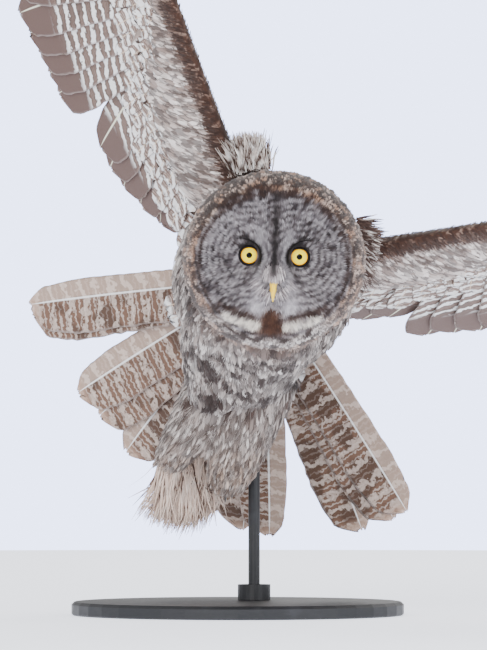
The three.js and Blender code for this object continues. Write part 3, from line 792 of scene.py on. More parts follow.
def paintDisc(x, z, aside, grains, chance):
    t, look = tones, facePaint
    fine, mid, wide = grains
    eyeGap = np.hypot(aside - eyes["apart"], z - eyes["up"])
    ring = 0.5 + 0.5 * np.sin(2 * np.pi * (eyeGap / look["ring"] + 0.4 * (mid - 0.5)))
    tuftTone = 0.35 * (chance - 0.5) + 1.0 * (fine - 0.5) + 0.4 * (wide - 0.5)
    dark = smooth(look["ringFrom"] + look["ringShare"] * ring + tuftTone, 0.2, 0.9)
    colour = blendTone(t["discPale"], t["discDark"], dark)
    lore = bell((aside - look["loreOff"] - 0.10 * np.abs(z)) / look["loreWidth"], 1)
    lore = lore * smooth(z, -40, -30) * (1 - smooth(z, 24, 36))
    colour = blendTone(colour, t["lore"], lore * (0.55 + 0.4 * fine))
    streak = bell(x - 0.5, look["streakWidth"]) * smooth(z, -24, -12) * (1 - smooth(z, 62, 72))
    streak = streak * (0.5 + 0.9 * mid)
    colour = blendTone(colour, t["black"], streak * (0.95 - 0.33 * smooth(z, 25, 50)))
    inward = np.arctan2(z - eyes["up"], eyes["apart"] - aside)
    brow = bell(lineGap(eyes["apart"] - aside, z - eyes["up"], browLine), look["browWidth"])
    under = bell(lineGap(eyes["apart"] - aside, z - eyes["up"], lowerLine), look["lowerWidth"])
    rimShade = bell(eyeGap - look["rimGap"], look["rimWidth"])
    rimShade = rimShade * smooth(inward, -1.9, -0.8) * (1 - smooth(inward, 2.3, 3.0))
    black = np.clip(brow + look["lowerShare"] * under + 0.9 * rimShade, 0, 1)
    return blendTone(colour, t["black"], black), lore * 0.6 + streak + brow + rimShade


# Pale puffs beside the bill, and the dark chin that widens below them
chinPaint = {
    "puffOff": 16.0, "puffWide": 8.5, "puffHigh": 9.5, "puffDown": 47.0,
    "chinTop": 2.6, "chinGrowth": 0.5, "chinDown": 46.0, "chinLong": 22.0,
}


def paintChin(colour, x, z, grains):
    t, look = tones, chinPaint
    fine, mid = grains[:2]
    fromPuff = np.hypot((np.abs(x - 1) - look["puffOff"]) / look["puffWide"],
                        (z + look["puffDown"]) / look["puffHigh"])
    puffs = bell(fromPuff, 1.0) ** 0.8
    colour = blendTone(colour, t["puff"], np.clip(puffs * 1.25, 0, 1) * (0.55 + 0.6 * (fine - 0.1)))
    halfWidth = look["chinTop"] + look["chinGrowth"] * np.clip(-z - look["chinDown"], 0, look["chinLong"])
    chin = smooth(-z, 45, 52) * bell((x + 0.5) / halfWidth, 1) * (1 - smooth(-z, 70, 77))
    chin = np.clip(chin * 1.7 * (0.35 + 1.2 * mid), 0, 1)
    colour = blendTone(colour, t["chin"], chin)
    return blendTone(colour, t["rim"], chin * smooth(fine, 0.45, 0.7) * 0.7), puffs, chin


# The dark edge of the disc dips inwards below, over a thin white bow band
bowPaint = {
    "edgeAt": 0.985, "edgeWidth": 0.019, "bandDown": 65.5, "bandBend": 0.0045, "bandWidth": 3.5,
    "lineUp": 8.5, "lineWidth": 2.6,
}


def paintBow(colour, z, rz, aside, disc, fine):
    t, look = tones, bowPaint
    fromBand = z + look["bandDown"] - look["bandBend"] * aside ** 2
    edge = bell(disc - look["edgeAt"], look["edgeWidth"])
    edge = edge * (1 - 0.85 * smooth(-rz, 50, 58) * (1 - smooth(aside, 42, 50)))
    line = smooth(aside, 12, 20) * (1 - smooth(aside, 46, 58)) * smooth(-z, 30, 45)
    edge = edge + line * bell(fromBand - look["lineUp"], look["lineWidth"])
    colour = blendTone(colour, t["rim"], np.clip(edge * 1.5, 0, 1) * (0.55 + 0.9 * (fine - 0.15)))
    bow = smooth(aside, 9, 14) * (1 - smooth(aside, 44, 52)) * smooth(-z, 40, 50)
    bow = bow * bell(fromBand, look["bandWidth"])
    white = np.clip(bow * 2.0, 0, 1) * (1 - 0.6 * smooth(fine, 0.58, 0.72))
    return blendTone(colour, t["white"], white), edge, bow


# Outside the disc: brown and whitish mottling, browner on the crown
crownPaint = {
    "coarse": 5.2, "small": 2.6, "duskFrom": 0.48, "duskTo": 0.55, "topShift": 0.05, "duskShare": 0.88,
}


def paintCrown(place, chance, wide, onTop):
    t, look = tones, crownPaint
    speckle = 0.62 * grain(place, look["coarse"], 6) + 0.38 * grain(place, look["small"], 16)
    speckle = speckle + 0.12 * (chance - 0.5) + 0.25 * (wide - 0.5) + look["topShift"] * onTop
    dusk = smooth(speckle, look["duskFrom"], look["duskTo"])
    crown = blendTone(t["crownPale"], t["crownDark"], look["duskShare"] * dusk)
    warm = smooth(grain(place, 7.5, 26), 0.45, 0.6)
    return blendTone(crown, t["buff"], warm * (0.2 + 0.4 * (1 - dusk)))


def paintHead(root, p, reach, web, chance):
    x, _, z = toHead(p)
    rx, rf, rz = toHead(root)
    aside = np.abs(x)
    grains = grain(p, 1.9, 1), grain(p, 4.5, 2), grain(p, 13, 3)
    fine, mid, wide = grains
    disc = np.where(rf > faceDisc["ahead"], discShare(rx, rz), faceDisc["outside"]) + 0.03 * (mid - 0.5)
    colour, plain = paintDisc(x, z, aside, grains, chance)
    colour, puffs, chin = paintChin(colour, x, z, grains)
    colour, edge, bow = paintBow(colour, z, rz, aside, disc, fine)
    onTop = smooth(z, 5, 55)
    crown = paintCrown(0.25 * root + 0.75 * p, chance, wide, onTop)
    below = smooth(-rz, 35, 70) * (1 - smooth(disc, 1.6, 2.2))
    crown = blendTone(crown, paintBody(root, p, reach, web, chance), below)
    kept = (1 - np.clip(bow * 1.7, 0, 1)) * (1 - chin * (disc < 1.2))
    outside = smooth(disc, 1.02, 1.05) * kept
    plain = np.clip(plain + puffs + bow, 0, 1)
    marks = facePaint["marks"] * (1 - 0.75 * plain) + 0.3 * np.clip(edge, 0, 1)
    marks = marks * (1 - outside) + outside * (0.7 + 0.2 * onTop)
    return blendTone(colour, crown, outside), marks


# The largest brown blotches of the breast: x, z, half width and half height
breastBlotches = (
    (-44, 282, 8, 6), (-15, 273, 5, 4), (11, 237, 6, 7), (46, 274, 10, 4.5), (29, 228, 5, 6), (57, 249, 7, 5),
    (-51, 247, 4, 5), (69, 280, 7, 4), (20, 262, 4, 3), (-30, 256, 4, 4), (-22, 228, 5, 10), (22, 289, 5, 3),
    (2, 255, 5, 4), (38, 252, 6, 4), (-62, 266, 4, 5), (-9, 243, 4, 5), (52, 262, 4, 4), (84, 268, 5, 5),
)
bodyPaint = {"clump": 0.25, "vermic": 0.12, "blotchFrom": 0.625, "blotchTo": 0.66, "chestShift": 0.04}


# Fine bars across each feather
def crossBars(reach, chance, count):
    return smooth(np.sin(2 * np.pi * (reach * count + chance)), 0.3, 0.8)


def paintBody(root, p, reach, web, chance):
    t, look = tones, bodyPaint
    place = 0.3 * root + 0.7 * p
    fine, mid, wide = grain(p, 1.8, 4), grain(p, 5, 5), grain(place, 10.5, 8)
    base = blendTone(t["greyPale"], t["greyMid"], 0.2 + 1.0 * (fine - 0.4))
    clump = smooth(0.6 * grain(place, 5.0, 21) + 0.4 * grain(place, 2.4, 22), 0.49, 0.58)
    vermic = smooth(np.sin(2 * np.pi * (reach * 5.5 + 0.6 * mid + chance)), 0.1, 0.7)
    base = blendTone(base, t["greyDark"], clump * look["clump"] + vermic * look["vermic"])
    shaft = bell(web, 0.34) * smooth(reach, 0.2, 0.6)
    # big brown blotches on the breast thin out towards the belly
    chest = look["chestShift"] * smooth(root[:, 2], 215, 275)
    blotch = 0.75 * wide + 0.25 * grain(place, 4.5, 9) + chest
    blotch = smooth(blotch, look["blotchFrom"], look["blotchTo"])
    for atX, atZ, halfWidth, halfHeight in breastBlotches:
        gap = np.hypot((place[:, 0] - atX) / halfWidth, (place[:, 2] - atZ) / halfHeight) + 0.9 * (mid - 0.5)
        blotch = np.maximum(blotch, (1 - smooth(gap, 0.75, 1.05)) * (root[:, 1] < 20))
    base = blendTone(base, t["blotch"], blotch * (0.75 + 0.25 * shaft + 0.4 * (mid - 0.4)))
    upBody = (root - np.array(pose["shoulderCentre"])) @ bodyZ
    back = smooth(upBody, 10, 45) * smooth(root[:, 1], -230, -150)
    dorsal = np.clip(0.35 + 1.4 * (mid - 0.4) + 0.4 * shaft, 0, 1)
    dorsal = blendTone(t["backPale"], t["backDark"], dorsal)
    dorsal = blendTone(dorsal, t["backPale"], crossBars(reach, chance, 3) * 0.5)
    return blendTone(base, dorsal, back)


def paintLegs(root, p, reach, web, chance):
    t = tones
    place = 0.3 * root + 0.7 * p
    fine, mid = grain(p, 1.6, 4), grain(p, 4, 5)
    base = blendTone(t["greyPale"], t["greyMid"], 0.3 + 1.0 * (fine - 0.4))
    clump = smooth(0.55 * grain(place, 4.2, 23) + 0.45 * grain(place, 2.1, 24), 0.47, 0.57)
    base = blendTone(base, t["greyDark"], clump * 0.35)
    # a black painted shadow in the hollow beside the front of the right leg
    hollowShadow = bell(np.hypot((p[:, 0] + 23) / 5, (p[:, 2] - 224) / 14), 1) * (p[:, 1] < -20)
    base = blendTone(base, t["black"], hollowShadow * 0.85)
    low = smooth(-root[:, 2], -190, -150) * smooth(mid, 0.3, 0.7)
    base = blendTone(base, t["tan"], low * 0.45)
    return blendTone(base, paintBody(root, p, reach, web, chance), smooth(root[:, 2], 205, 245))


# The wing's lining is streaked along the wing, with a dark band at its front edge
armPaint = {
    "streak": (2.8, 8.5), "fleck": (5.5, 4.0), "marksLow": 0.24, "marksHigh": 0.3, "bandFrom": 15.0,
    "bandTo": 22.0,
}


def onRightSide(p):
    return p[:, 0] < pose["shoulderCentre"][0]


def paintArms(root, p, reach, web, chance, under, behind):
    t, look = tones, armPaint
    fine, mid, wide = grain(p, 1.8, 4), grain(p, 4.5, 5), grain(root, 12, 8)
    sides = [wingCoordinates(side, p) for side in ("right", "left")]
    along, rearward = [np.where(onRightSide(p), sides[0][k], sides[1][k]) for k in (0, 1)]
    streaks, flecks = [
        grain(np.stack([along / look[key][0], rearward / look[key][1], 0 * along], -1), 1.0, seed)
        for key, seed in (("streak", 31), ("fleck", 32))
    ]
    pale = blendTone(t["liningPale"], t["greyMid"], 0.1 + 0.6 * (fine - 0.4))
    marks = np.maximum(smooth(streaks, 0.52, 0.6), smooth(flecks, 0.57, 0.66))
    pale = blendTone(pale, t["band"], marks * (look["marksLow"] + look["marksHigh"] * wide))
    band = blendTone(t["band"], t["crownPale"], smooth(fine + 0.4 * (mid - 0.5), 0.6, 0.8) * 0.6)
    edge = 1 - smooth(behind + 8 * (wide - 0.5), look["bandFrom"], look["bandTo"])
    lining = blendTone(pale, band, edge)
    top = blendTone(t["backPale"], t["backDark"], np.clip(0.45 + 1.4 * (mid - 0.4), 0, 1))
    top = blendTone(top, t["backPale"], crossBars(reach, chance, 2.5) * 0.55)
    return blendTone(top, lining, under)


fleckShares = {"trunk": 0.66, "legs": 0.72, "arms": 0.72}  # how strongly the dark flecks show


def paintAll(mesh, root, p, reach, web, chance):
    keys = ("head", "neck", "torso", "armright", "armleft", "under", "behind", "legs", "stump")
    f = {key: readField(mesh, key).astype(float) for key in keys}
    x, ahead, z = toHead(p)
    lowFace = smooth(ahead, 5, 20) * (1 - smooth(np.hypot(x, z), 82, 90))
    onHead = np.maximum(f["head"], lowFace)
    rest = (1 - onHead) / np.maximum(1 - f["head"], 1e-6)
    trunk = (f["neck"] + f["torso"]) * rest
    leg = (f["legs"] + f["stump"]) * rest
    arm = (f["armright"] + f["armleft"]) * rest
    colour, marks = paintHead(root, p, reach, web, chance)
    shares = fleckShares
    marks = marks * onHead + shares["trunk"] * trunk + shares["legs"] * leg + shares["arms"] * arm
    colour = colour * onHead[:, None]
    colour += paintBody(root, p, reach, web, chance) * trunk[:, None]
    colour += paintLegs(root, p, reach, web, chance) * leg[:, None]
    colour += paintArms(root, p, reach, web, chance, f["under"], f["behind"]) * arm[:, None]
    storeLay(mesh, root, p, arm > 0.5, leg > 0.5)
    return colour, marks


# How far apart the flecks are, in millimetres: longer along the wing, finer on the face
fleckSteps = {
    "trunk": (3.0, 3.6, 3.9), "legs": (2.6, 3.0, 3.4), "face": 2.1, "arms": (6.5, 2.7, 4.0), "tufts": 3.2,
}


def storeLay(mesh, root, p, onArm, onLeg):
    x, ahead, z = toHead(root)
    share = np.hypot(x / faceDisc["halfWidth"], (z + faceDisc["offZ"]) / faceDisc["halfHeight"])
    onFace = (share < 1.03) & (ahead > faceDisc["ahead"])
    lay = p / np.array(fleckSteps["trunk"])
    lay = np.where(onLeg[:, None], p / np.array(fleckSteps["legs"]), lay)
    lay = np.where(onFace[:, None], p / fleckSteps["face"], lay)
    for side in ("right", "left"):
        place = np.stack(wingCoordinates(side, p), -1) / np.array(fleckSteps["arms"])
        here = onArm & (onRightSide(root) == (side == "right"))
        lay = np.where(here[:, None], place, lay)
    storeField(mesh, "lay", "FLOAT_VECTOR", "POINT", lay)


# Colour of each plume, and in its alpha how strongly the dark flecks show
def storePlume(mesh, colour, marks):
    full = np.ones((len(colour), 4))
    full[:, :3] = toPaint(colour)
    full[:, 3] = marks
    storeField(mesh, "plume", "FLOAT_COLOR", "POINT", full)


half = np.full(len(skinPoints), 0.5)
skinColour, skinMarks = paintAll(skin.data, skinPoints, skinPoints, half, half * 0, half)
storePlume(skin.data, skinColour * 0.86, skinMarks)
skin.data.materials.clear()
skin.data.materials.append(bodyPlumage)


# Small feather forms, one unit long: rows of half width and how far the tip bends down
def featherForm(name, parts):
    points, faces, reach, web = [], [], [], []
    for lean, rows in parts:
        start = len(points)
        c, s = math.cos(lean), math.sin(lean)
        for share, wide, high in rows:
            for k in ((-1, 0, 1) if wide > 0.03 else (-1, 1)) if wide > 0 else (0,):
                x, y = k * wide, share
                ridge = 0.05 * (1 - abs(k)) if wide > 0.03 else 0
                points.append((x * c + y * s, y * c - x * s, high + ridge))
                reach.append(share)
                web.append(k)
        index = start
        for a, b in zip(rows[:-1], rows[1:]):
            na, nb = [3 if r[1] > 0.03 else 2 if r[1] > 0 else 1 for r in (a, b)]
            low, high = list(range(index, index + na)), list(range(index + na, index + na + nb))
            if nb == na:
                faces += [(low[i], low[i + 1], high[i + 1], high[i]) for i in range(na - 1)]
            elif nb == 1:
                faces += [(low[i], low[i + 1], high[0]) for i in range(na - 1)]
            elif na == 3 and nb == 2:
                faces += [(low[0], low[1], high[1], high[0]), (low[1], low[2], high[1])]
            index += na
    obj = makeObject(name, np.array(points) / mm, faces)
    storeField(obj.data, "reach", "FLOAT", "POINT", reach)
    storeField(obj.data, "web", "FLOAT", "POINT", web)
    return obj


def strand(lean, length, wide, rise):
    return lean, [(0, wide, 0), (length * 0.5, wide * 0.9, rise), (length, 0, rise * 0.4)]


def makeForms():
    vane = [
        (0, 0.06, 0), (0.25, 0.18, 0.03), (0.55, 0.22, 0.04), (0.82, 0.17, 0.02), (0.95, 0.09, -0.01),
        (1.0, 0, -0.03),
    ]
    slim = [(0, 0.05, 0), (0.35, 0.13, 0.03), (0.7, 0.13, 0.03), (0.9, 0.07, 0.0), (1.02, 0, -0.03)]
    sets = {
        "softFeathers": [
            featherForm("vaneForm", [(0, vane)]),
            featherForm("slimForm", [(0, slim)]),
            featherForm("frayForm", [(0, vane[:3] + [(0.72, 0.12, 0.03), (1.0, 0, -0.02)]),
                                     strand(0.22, 0.96, 0.026, 0.06), strand(-0.24, 0.92, 0.026, 0.05)]),
            featherForm("wispForm", [strand(v, l, 0.026, h) for v, l, h in (
                (-0.42, 0.8, 0.08), (-0.2, 0.96, 0.05), (0, 1.05, 0.1), (0.21, 0.94, 0.05),
                (0.43, 0.78, 0.09))]),
        ],
        "downFeathers": [
            featherForm("downSlim", [(0, slim)]),
            featherForm("downFray", [(0, slim[:3] + [(0.78, 0.07, 0.03), (1.0, 0, -0.02)]),
                                     strand(0.16, 0.98, 0.022, 0.07), strand(-0.18, 0.94, 0.022, 0.05)]),
            featherForm("downWispA", [strand(v, l, 0.022, h) for v, l, h in (
                (-0.34, 0.8, 0.10), (-0.16, 0.96, 0.05), (0, 1.05, 0.12), (0.17, 0.94, 0.05),
                (0.35, 0.78, 0.10))]),
            featherForm("downWispB", [strand(v, l, 0.024, h) for v, l, h in (
                (-0.25, 0.9, 0.02), (-0.08, 1.0, 0.08), (0.1, 1.02, 0.03), (0.28, 0.86, 0.09))]),
        ],
        "faceFeathers": [
            featherForm("bladeForm", [(0, [(0, 0.05, 0), (0.45, 0.1, 0.05), (1.0, 0, 0.02)])]),
            featherForm("forkForm", [strand(v, l, 0.03, h) for v, l, h in (
                (-0.3, 0.9, 0.1), (0, 1.05, 0.06), (0.3, 0.92, 0.1))]),
        ],
    }
    groups = {}
    for name, members in sets.items():
        group = bpy.data.collections.new(name)
        for obj in members:
            bpy.context.scene.collection.objects.unlink(obj)
            group.objects.link(obj)
        groups[name] = group
    return groups


forms = makeForms()


# Geometry Nodes: feathers set over the skin, each lying along the body
def coatTree():
    tree = bpy.data.node_groups.new("coatOfFeathers", "GeometryNodeTree")
    for name, kind in (
        ("Skin", "Geometry"), ("Feathers", "Collection"), ("Zone", "String"), ("Spacing", "Float"),
        ("Most", "Float"), ("Lift", "Float"), ("Ruffle", "Float"), ("Width", "Float"), ("Seed", "Int"),
        ("Finish", "Material"),
    ):
        tree.interface.new_socket(name, in_out="INPUT", socket_type="NodeSocket" + kind)
    tree.interface.new_socket("Coat", in_out="OUTPUT", socket_type="NodeSocketGeometry")
    nodes, links = tree.nodes, tree.links
    given = nodes.new("NodeGroupInput").outputs

    def node(kind, inputs=None, **settings):
        made = nodes.new(kind)
        for key, value in settings.items():
            setattr(made, key, value)
        for key, value in (inputs or {}).items():
            if hasattr(value, "is_output"):
                links.new(value, made.inputs[key])
            else:
                made.inputs[key].default_value = value
        return made

    def named(name, kind="FLOAT"):
        return node("GeometryNodeInputNamedAttribute", {"Name": name}, data_type=kind).outputs[0]

    def chance(low, high, seed):
        return node("FunctionNodeRandomValue", {2: low, 3: high, 8: seed}, data_type="FLOAT").outputs[1]

    def calc(operation, a, b):
        return node("ShaderNodeMath", {0: a, 1: b}, operation=operation).outputs[0]

    spread = node("GeometryNodeDistributePointsOnFaces", {
        "Mesh": given["Skin"], "Distance Min": given["Spacing"], "Density Max": given["Most"],
        "Density Factor": named(given["Zone"]), "Seed": given["Seed"]}, distribute_method="POISSON")
    points = spread.outputs["Points"]
    place = node("GeometryNodeInputPosition").outputs[0]
    for name, value, kind in (("rootPlace", place, "FLOAT_VECTOR"), ("chance", chance(0.0, 1.0, 3), "FLOAT"),
                              ("skinPlace", named("OFBake", "FLOAT_VECTOR"), "FLOAT_VECTOR")):
        points = node("GeometryNodeStoreNamedAttribute", {"Geometry": points, "Name": name, "Value": value},
                      data_type=kind, domain="POINT").outputs[0]
    axes = {"Primary Axis": spread.outputs["Normal"], "Secondary Axis": named("lie", "FLOAT_VECTOR")}
    upright = node("FunctionNodeAxesToRotation", axes, primary_axis="Z", secondary_axis="Y").outputs[0]
    lift = calc("ADD", given["Lift"], calc("MULTIPLY", given["Ruffle"], chance(-0.6, 1.0, 11)))
    roll = calc("MULTIPLY", given["Ruffle"], chance(-1.0, 1.0, 12))
    swing = calc("MULTIPLY", given["Ruffle"], chance(-1.4, 1.4, 13))
    lean = node("ShaderNodeCombineXYZ", {0: lift, 1: roll, 2: swing}).outputs[0]
    tilted = node("FunctionNodeEulerToRotation", {0: lean}).outputs[0]
    leaned = node("FunctionNodeRotateRotation", {0: upright, 1: tilted}, rotation_space="LOCAL").outputs[0]
    size = calc("MULTIPLY", named("coatLength"), chance(0.78, 1.22, 14))
    broad = calc("MULTIPLY", size, calc("MULTIPLY", given["Width"], chance(0.8, 1.25, 15)))
    scale = node("ShaderNodeCombineXYZ", {0: broad, 1: size, 2: size}).outputs[0]
    models = node("GeometryNodeCollectionInfo", {"Collection": given["Feathers"], "Separate Children": True,
                  "Reset Children": True}).outputs[0]
    copies = node("GeometryNodeInstanceOnPoints", {
        "Points": points, "Instance": models, "Pick Instance": True, "Rotation": leaned,
        "Scale": scale}).outputs[0]
    real = node("GeometryNodeRealizeInstances", {0: copies}).outputs[0]
    patch = node("ShaderNodeCombineXYZ", {0: calc("MULTIPLY", named("web"), 0.0015),
                 1: calc("MULTIPLY", named("reach"), 0.003)}).outputs[0]
    bake = node("ShaderNodeVectorMath", {0: named("skinPlace", "FLOAT_VECTOR"), 1: patch},
                operation="ADD").outputs[0]
    mapped = node("GeometryNodeStoreNamedAttribute", {"Geometry": real, "Name": "OFBake", "Value": bake},
                  data_type="FLOAT2", domain="CORNER").outputs[0]
    done = node("GeometryNodeSetMaterial", {"Geometry": mapped, "Material": given["Finish"]}).outputs[0]
    links.new(done, nodes.new("NodeGroupOutput").inputs[0])
    return tree


coatNodes = coatTree()
coats = {
    "coatFace": {"Zone": "zoneFace", "Feathers": "faceFeathers", "Spacing": 0.00077,
        "Lift": 0.14, "Ruffle": 0.18, "Width": 1.1, "Seed": 3},
    "coatHead": {"Zone": "zoneHead", "Feathers": "softFeathers", "Spacing": 0.00145,
        "Lift": 0.07, "Ruffle": 0.12, "Width": 0.7, "Seed": 4},
    "coatFront": {"Zone": "zoneFront", "Feathers": "downFeathers", "Spacing": 0.00156,
        "Lift": 0.09, "Ruffle": 0.2, "Width": 0.68, "Seed": 5},
    "coatBack": {"Zone": "zoneBack", "Feathers": "softFeathers", "Spacing": 0.0028,
        "Lift": 0.08, "Ruffle": 0.15, "Width": 0.76, "Seed": 6},
    "coatLegs": {"Zone": "zoneLegs", "Feathers": "downFeathers", "Spacing": 0.00145,
        "Lift": 0.10, "Ruffle": 0.22, "Width": 0.68, "Seed": 7},
    "coatArms": {"Zone": "zoneArms", "Feathers": "softFeathers", "Spacing": 0.0021,
        "Lift": 0.05, "Ruffle": 0.09, "Width": 0.68, "Seed": 8},
}


def makeCoat(name, look):
    carrier = addToScene(name + "Carrier", skin.data)
    layer = carrier.modifiers.new("coat", "NODES")
    layer.node_group = coatNodes
    given = {**look, "Feathers": forms[look["Feathers"]], "Finish": bodyPlumage}
    given["Most"] = 1 / look["Spacing"] ** 2
    for item in coatNodes.interface.items_tree:
        if item.in_out == "INPUT" and item.name in given:
            layer[item.identifier] = given[item.name]
    mesh = takeMesh(carrier)
    mesh.name = name
    root = readField(mesh, "rootPlace", 3).astype(float) / mm
    reach, web, chance = [readField(mesh, key).astype(float) for key in ("reach", "web", "chance")]
    colour, marks = paintAll(mesh, root, readPoints(mesh), reach, web, chance)
    storePlume(mesh, colour * (0.93 + 0.14 * chance)[:, None], marks)
    helpers = ("lie", "rootPlace", "skinPlace", "coatLength", "behind", "legShare")
    for key in list(mesh.attributes.keys()):
        if key.startswith("zone") or key in helpers:
            mesh.attributes.remove(mesh.attributes[key])
    finishPiece(addToScene(name, mesh), "plumage")
    print(name, "made:", sum(len(p.vertices) - 2 for p in mesh.polygons), "triangles")


for name, look in coats.items():
    makeCoat(name, look)
finishPiece(skin, "plumage", "head", "neck", "torso", "leg_right", "leg_left", "foot_right", "foot_left")


# Long feathers: closed vanes with a shaft, an outer and an inner web
featherForms = {
    "broad": [(0, 0.26), (0.34, 0.94), (0.78, 1.0), (0.94, 0.78), (1, 0.5)],
    "fingered": [(0, 0.26), (0.4, 1.0), (0.72, 0.76), (0.94, 0.54), (1, 0.36)],
    "covert": [(0, 0.56), (0.7, 1.0), (0.92, 0.86), (1, 0.6)],
}
roundedTips = {"broad": 0.5, "fingered": 0.42, "covert": 0.3}  # how long the tip is, in widths


class FeatherSheet:
    def __init__(self, place, barRow, seed):
        self.place, self.barRow = place, barRow
        self.random = np.random.default_rng(seed)
        self.points, self.faces, self.corners = [], [], []
        self.fields = {"bars": [], "web": [], "reach": [], "chance": [], "span": []}
        self.under, self.cells = [], 0

    def add(self, root, angle, length, width, lift=(0, 0), turn=1, form="broad", curve=0.07, rows=26,
            outer=0.35, tilt=0.08):
        a = math.radians(angle)
        along = np.array([math.cos(a), math.sin(a)])
        out = np.array([turn * along[1], -turn * along[0]])
        s = 1 - (1 - np.linspace(0, 1, rows + 1)) ** 1.25
        table = np.array(featherForms[form])
        wide = width * np.interp(s, table[:, 0], table[:, 1])
        tip = 1 - roundedTips[form] * width / length
        wide = wide * np.sqrt(np.clip(1 - (np.clip(s - tip, 0, 1) / (1.004 - tip)) ** 2, 0, 1))
        webs = np.array([-1, -0.9, -0.66, -0.4, -0.16, -0.03, 0.05, 0.3, 0.62, 0.88, 1.0])
        side = np.where(webs > 0, webs * outer, webs * (1 - outer))[None, :] * wide[:, None]
        shape = s[:, None] + 0 * webs[None, :]
        ragged = self.random.random((rows + 1, len(webs))) - 0.5
        tipWave = (self.random.random(len(webs)) - 0.5)[None, :]
        edge = smooth(np.abs(webs), 0.6, 1.0)[None, :]
        side = side * (1 + 0.05 * ragged * edge)
        reach = length * shape + 4.0 * tipWave * smooth(s, 0.85, 1.0)[:, None]
        reach = reach + 0.10 * np.abs(side) * smooth(s, 0.1, 0.5)[:, None]
        reach = reach - 0.10 * np.abs(side).max() * smooth(s, 0.9, 1.0)[:, None]
        bend = -curve * length * shape ** 2
        pa = root[0] + along[0] * reach + out[0] * (side + bend)
        pb = root[1] + along[1] * reach + out[1] * (side + bend)
        arch = -1.2 * (side / max(width, 1) * 2) ** 2
        height = lift[0] + (lift[1] - lift[0]) * shape + tilt * side + arch
        height = height + 0.25 * ragged * edge * smooth(s, 0.3, 0.7)[:, None]
        shaft = np.exp(-(side / 1.1) ** 2) * 0.7 * (1 - 0.8 * shape)
        thick = 0.22 * (1 - np.abs(webs[None, :]) ** 4) + shaft
        chance = self.random.random()
        n = len(webs)
        start = sum(len(p) for p in self.points)
        upper = self.place(pa, pb, height + thick).reshape(-1, 3)
        lower = self.place(pa, pb, height - thick).reshape(-1, 3)
        size = (rows + 1) * n
        self.points += [upper, lower]
        rim = np.zeros((rows + 1, n), bool)
        rim[0], rim[-1], rim[:, 0], rim[:, -1] = True, True, True, True
        index = np.arange(size).reshape(rows + 1, n)
        lowIndex = np.where(rim, index, index + size)
        for sideIndex, grid in ((0, index), (1, lowIndex)):
            cell = self.cells
            self.cells += 1
            for i in range(rows):
                for j in range(n - 1):
                    quad = [(i, j), (i, j + 1), (i + 1, j + 1), (i + 1, j)]
                    if sideIndex:
                        quad = quad[::-1]
                    self.faces.append([int(grid[q]) + start for q in quad])
                    self.corners.append([(cell, (webs[q[1]] + 1) / 2, q[0] / rows) for q in quad])
                    self.under.append(float(sideIndex))
        bars = self.barRow(pa, pb, reach, root)
        for key, value in (("bars", bars), ("web", webs[None, :] + 0 * shape), ("reach", shape),
                           ("chance", chance + 0 * shape), ("span", reach)):
            self.fields[key] += [value.ravel(), value.ravel()]

    def make(self, name, material):
        points = np.concatenate(self.points)
        faces = np.array(self.faces)
        # a feather in a mirrored frame has its faces turned back outwards
        p = points[faces]
        normal = np.cross(p[:, 1] - p[:, 0], p[:, 3] - p[:, 0])
        above = self.place(0, 0, 1) - self.place(0, 0, 0)
        wrong = (normal @ above > 0) == (np.array(self.under) > 0.5)
        used, inverse = np.unique(faces, return_inverse=True)
        faces = inverse.reshape(faces.shape)
        corners = np.array(self.corners, float)
        faces = np.where(wrong[:, None], faces[:, ::-1], faces)
        corners = np.where(wrong[:, None, None], corners[:, ::-1], corners)
        cell, across, along = corners.reshape(-1, 3).T
        obj = makeObject(name, points[used], faces, material)
        mesh = obj.data
        storePatches(mesh, cell.astype(int), across, along, 20, (0.08, 0.03))
        for key, values in self.fields.items():
            storeField(mesh, key, "FLOAT", "POINT", np.concatenate(values)[used])
        storeField(mesh, "under", "FLOAT", "FACE", self.under)
        print(name, "made:", 2 * len(mesh.polygons), "triangles")
        return obj


# Barred feathers: pale and dark bars across the webs, a pale shaft, plain tips and a thin pale fringe
wingLook = {
    "period": 16.5, "pale": (242, 235, 230), "dark": (116, 98, 91), "fleck": (150, 134, 127),
    "shaft": (226, 214, 194), "tip": (106, 88, 83), "tipFrom": 0.73, "fringe": (196, 180, 174),
    "topPale": (146, 133, 123), "topDark": (90, 77, 70), "outerPale": 0.2, "fleckRows": 2.8,
    "patches": 0.35, "waver": 15.0, "barEdge": 0.05, "barShare": 0.95, "outline": 0.6,
    "outerDark": (128, 110, 103), "fleckShare": 0.5,
}
tailLook = {
    "period": 19.0, "pale": (200, 188, 180), "dark": (118, 96, 85), "fleck": (200, 191, 185),
    "shaft": (240, 233, 214), "tip": (164, 143, 131), "tipFrom": 0.93, "fringe": (206, 190, 181),
    "topPale": (146, 133, 123), "topDark": (94, 81, 74), "outerPale": 0.75, "fleckRows": 6.4,
    "patches": 0.75, "waver": 24.0, "barEdge": 0.35, "barShare": 0.5, "outline": 0.35,
    "outerDark": (166, 150, 140), "fleckShare": 0.42,
}
covertLook = {
    "period": 13.0, "pale": (232, 226, 221), "dark": (118, 99, 91), "fleck": (206, 196, 190),
    "shaft": (196, 180, 164), "tip": (222, 215, 210), "tipFrom": 0.9, "fringe": (132, 112, 103),
    "topPale": (148, 136, 126), "topDark": (92, 79, 72), "outerPale": 0.2, "fleckRows": 3.4,
    "patches": 0.1, "waver": 16.0, "barEdge": -0.15, "barShare": 0.9, "outline": 0.3,
    "outerDark": (140, 122, 114), "fleckShare": 0.5,
}


def dimmed(colour, share):
    return tone(*[v * share for v in colour])


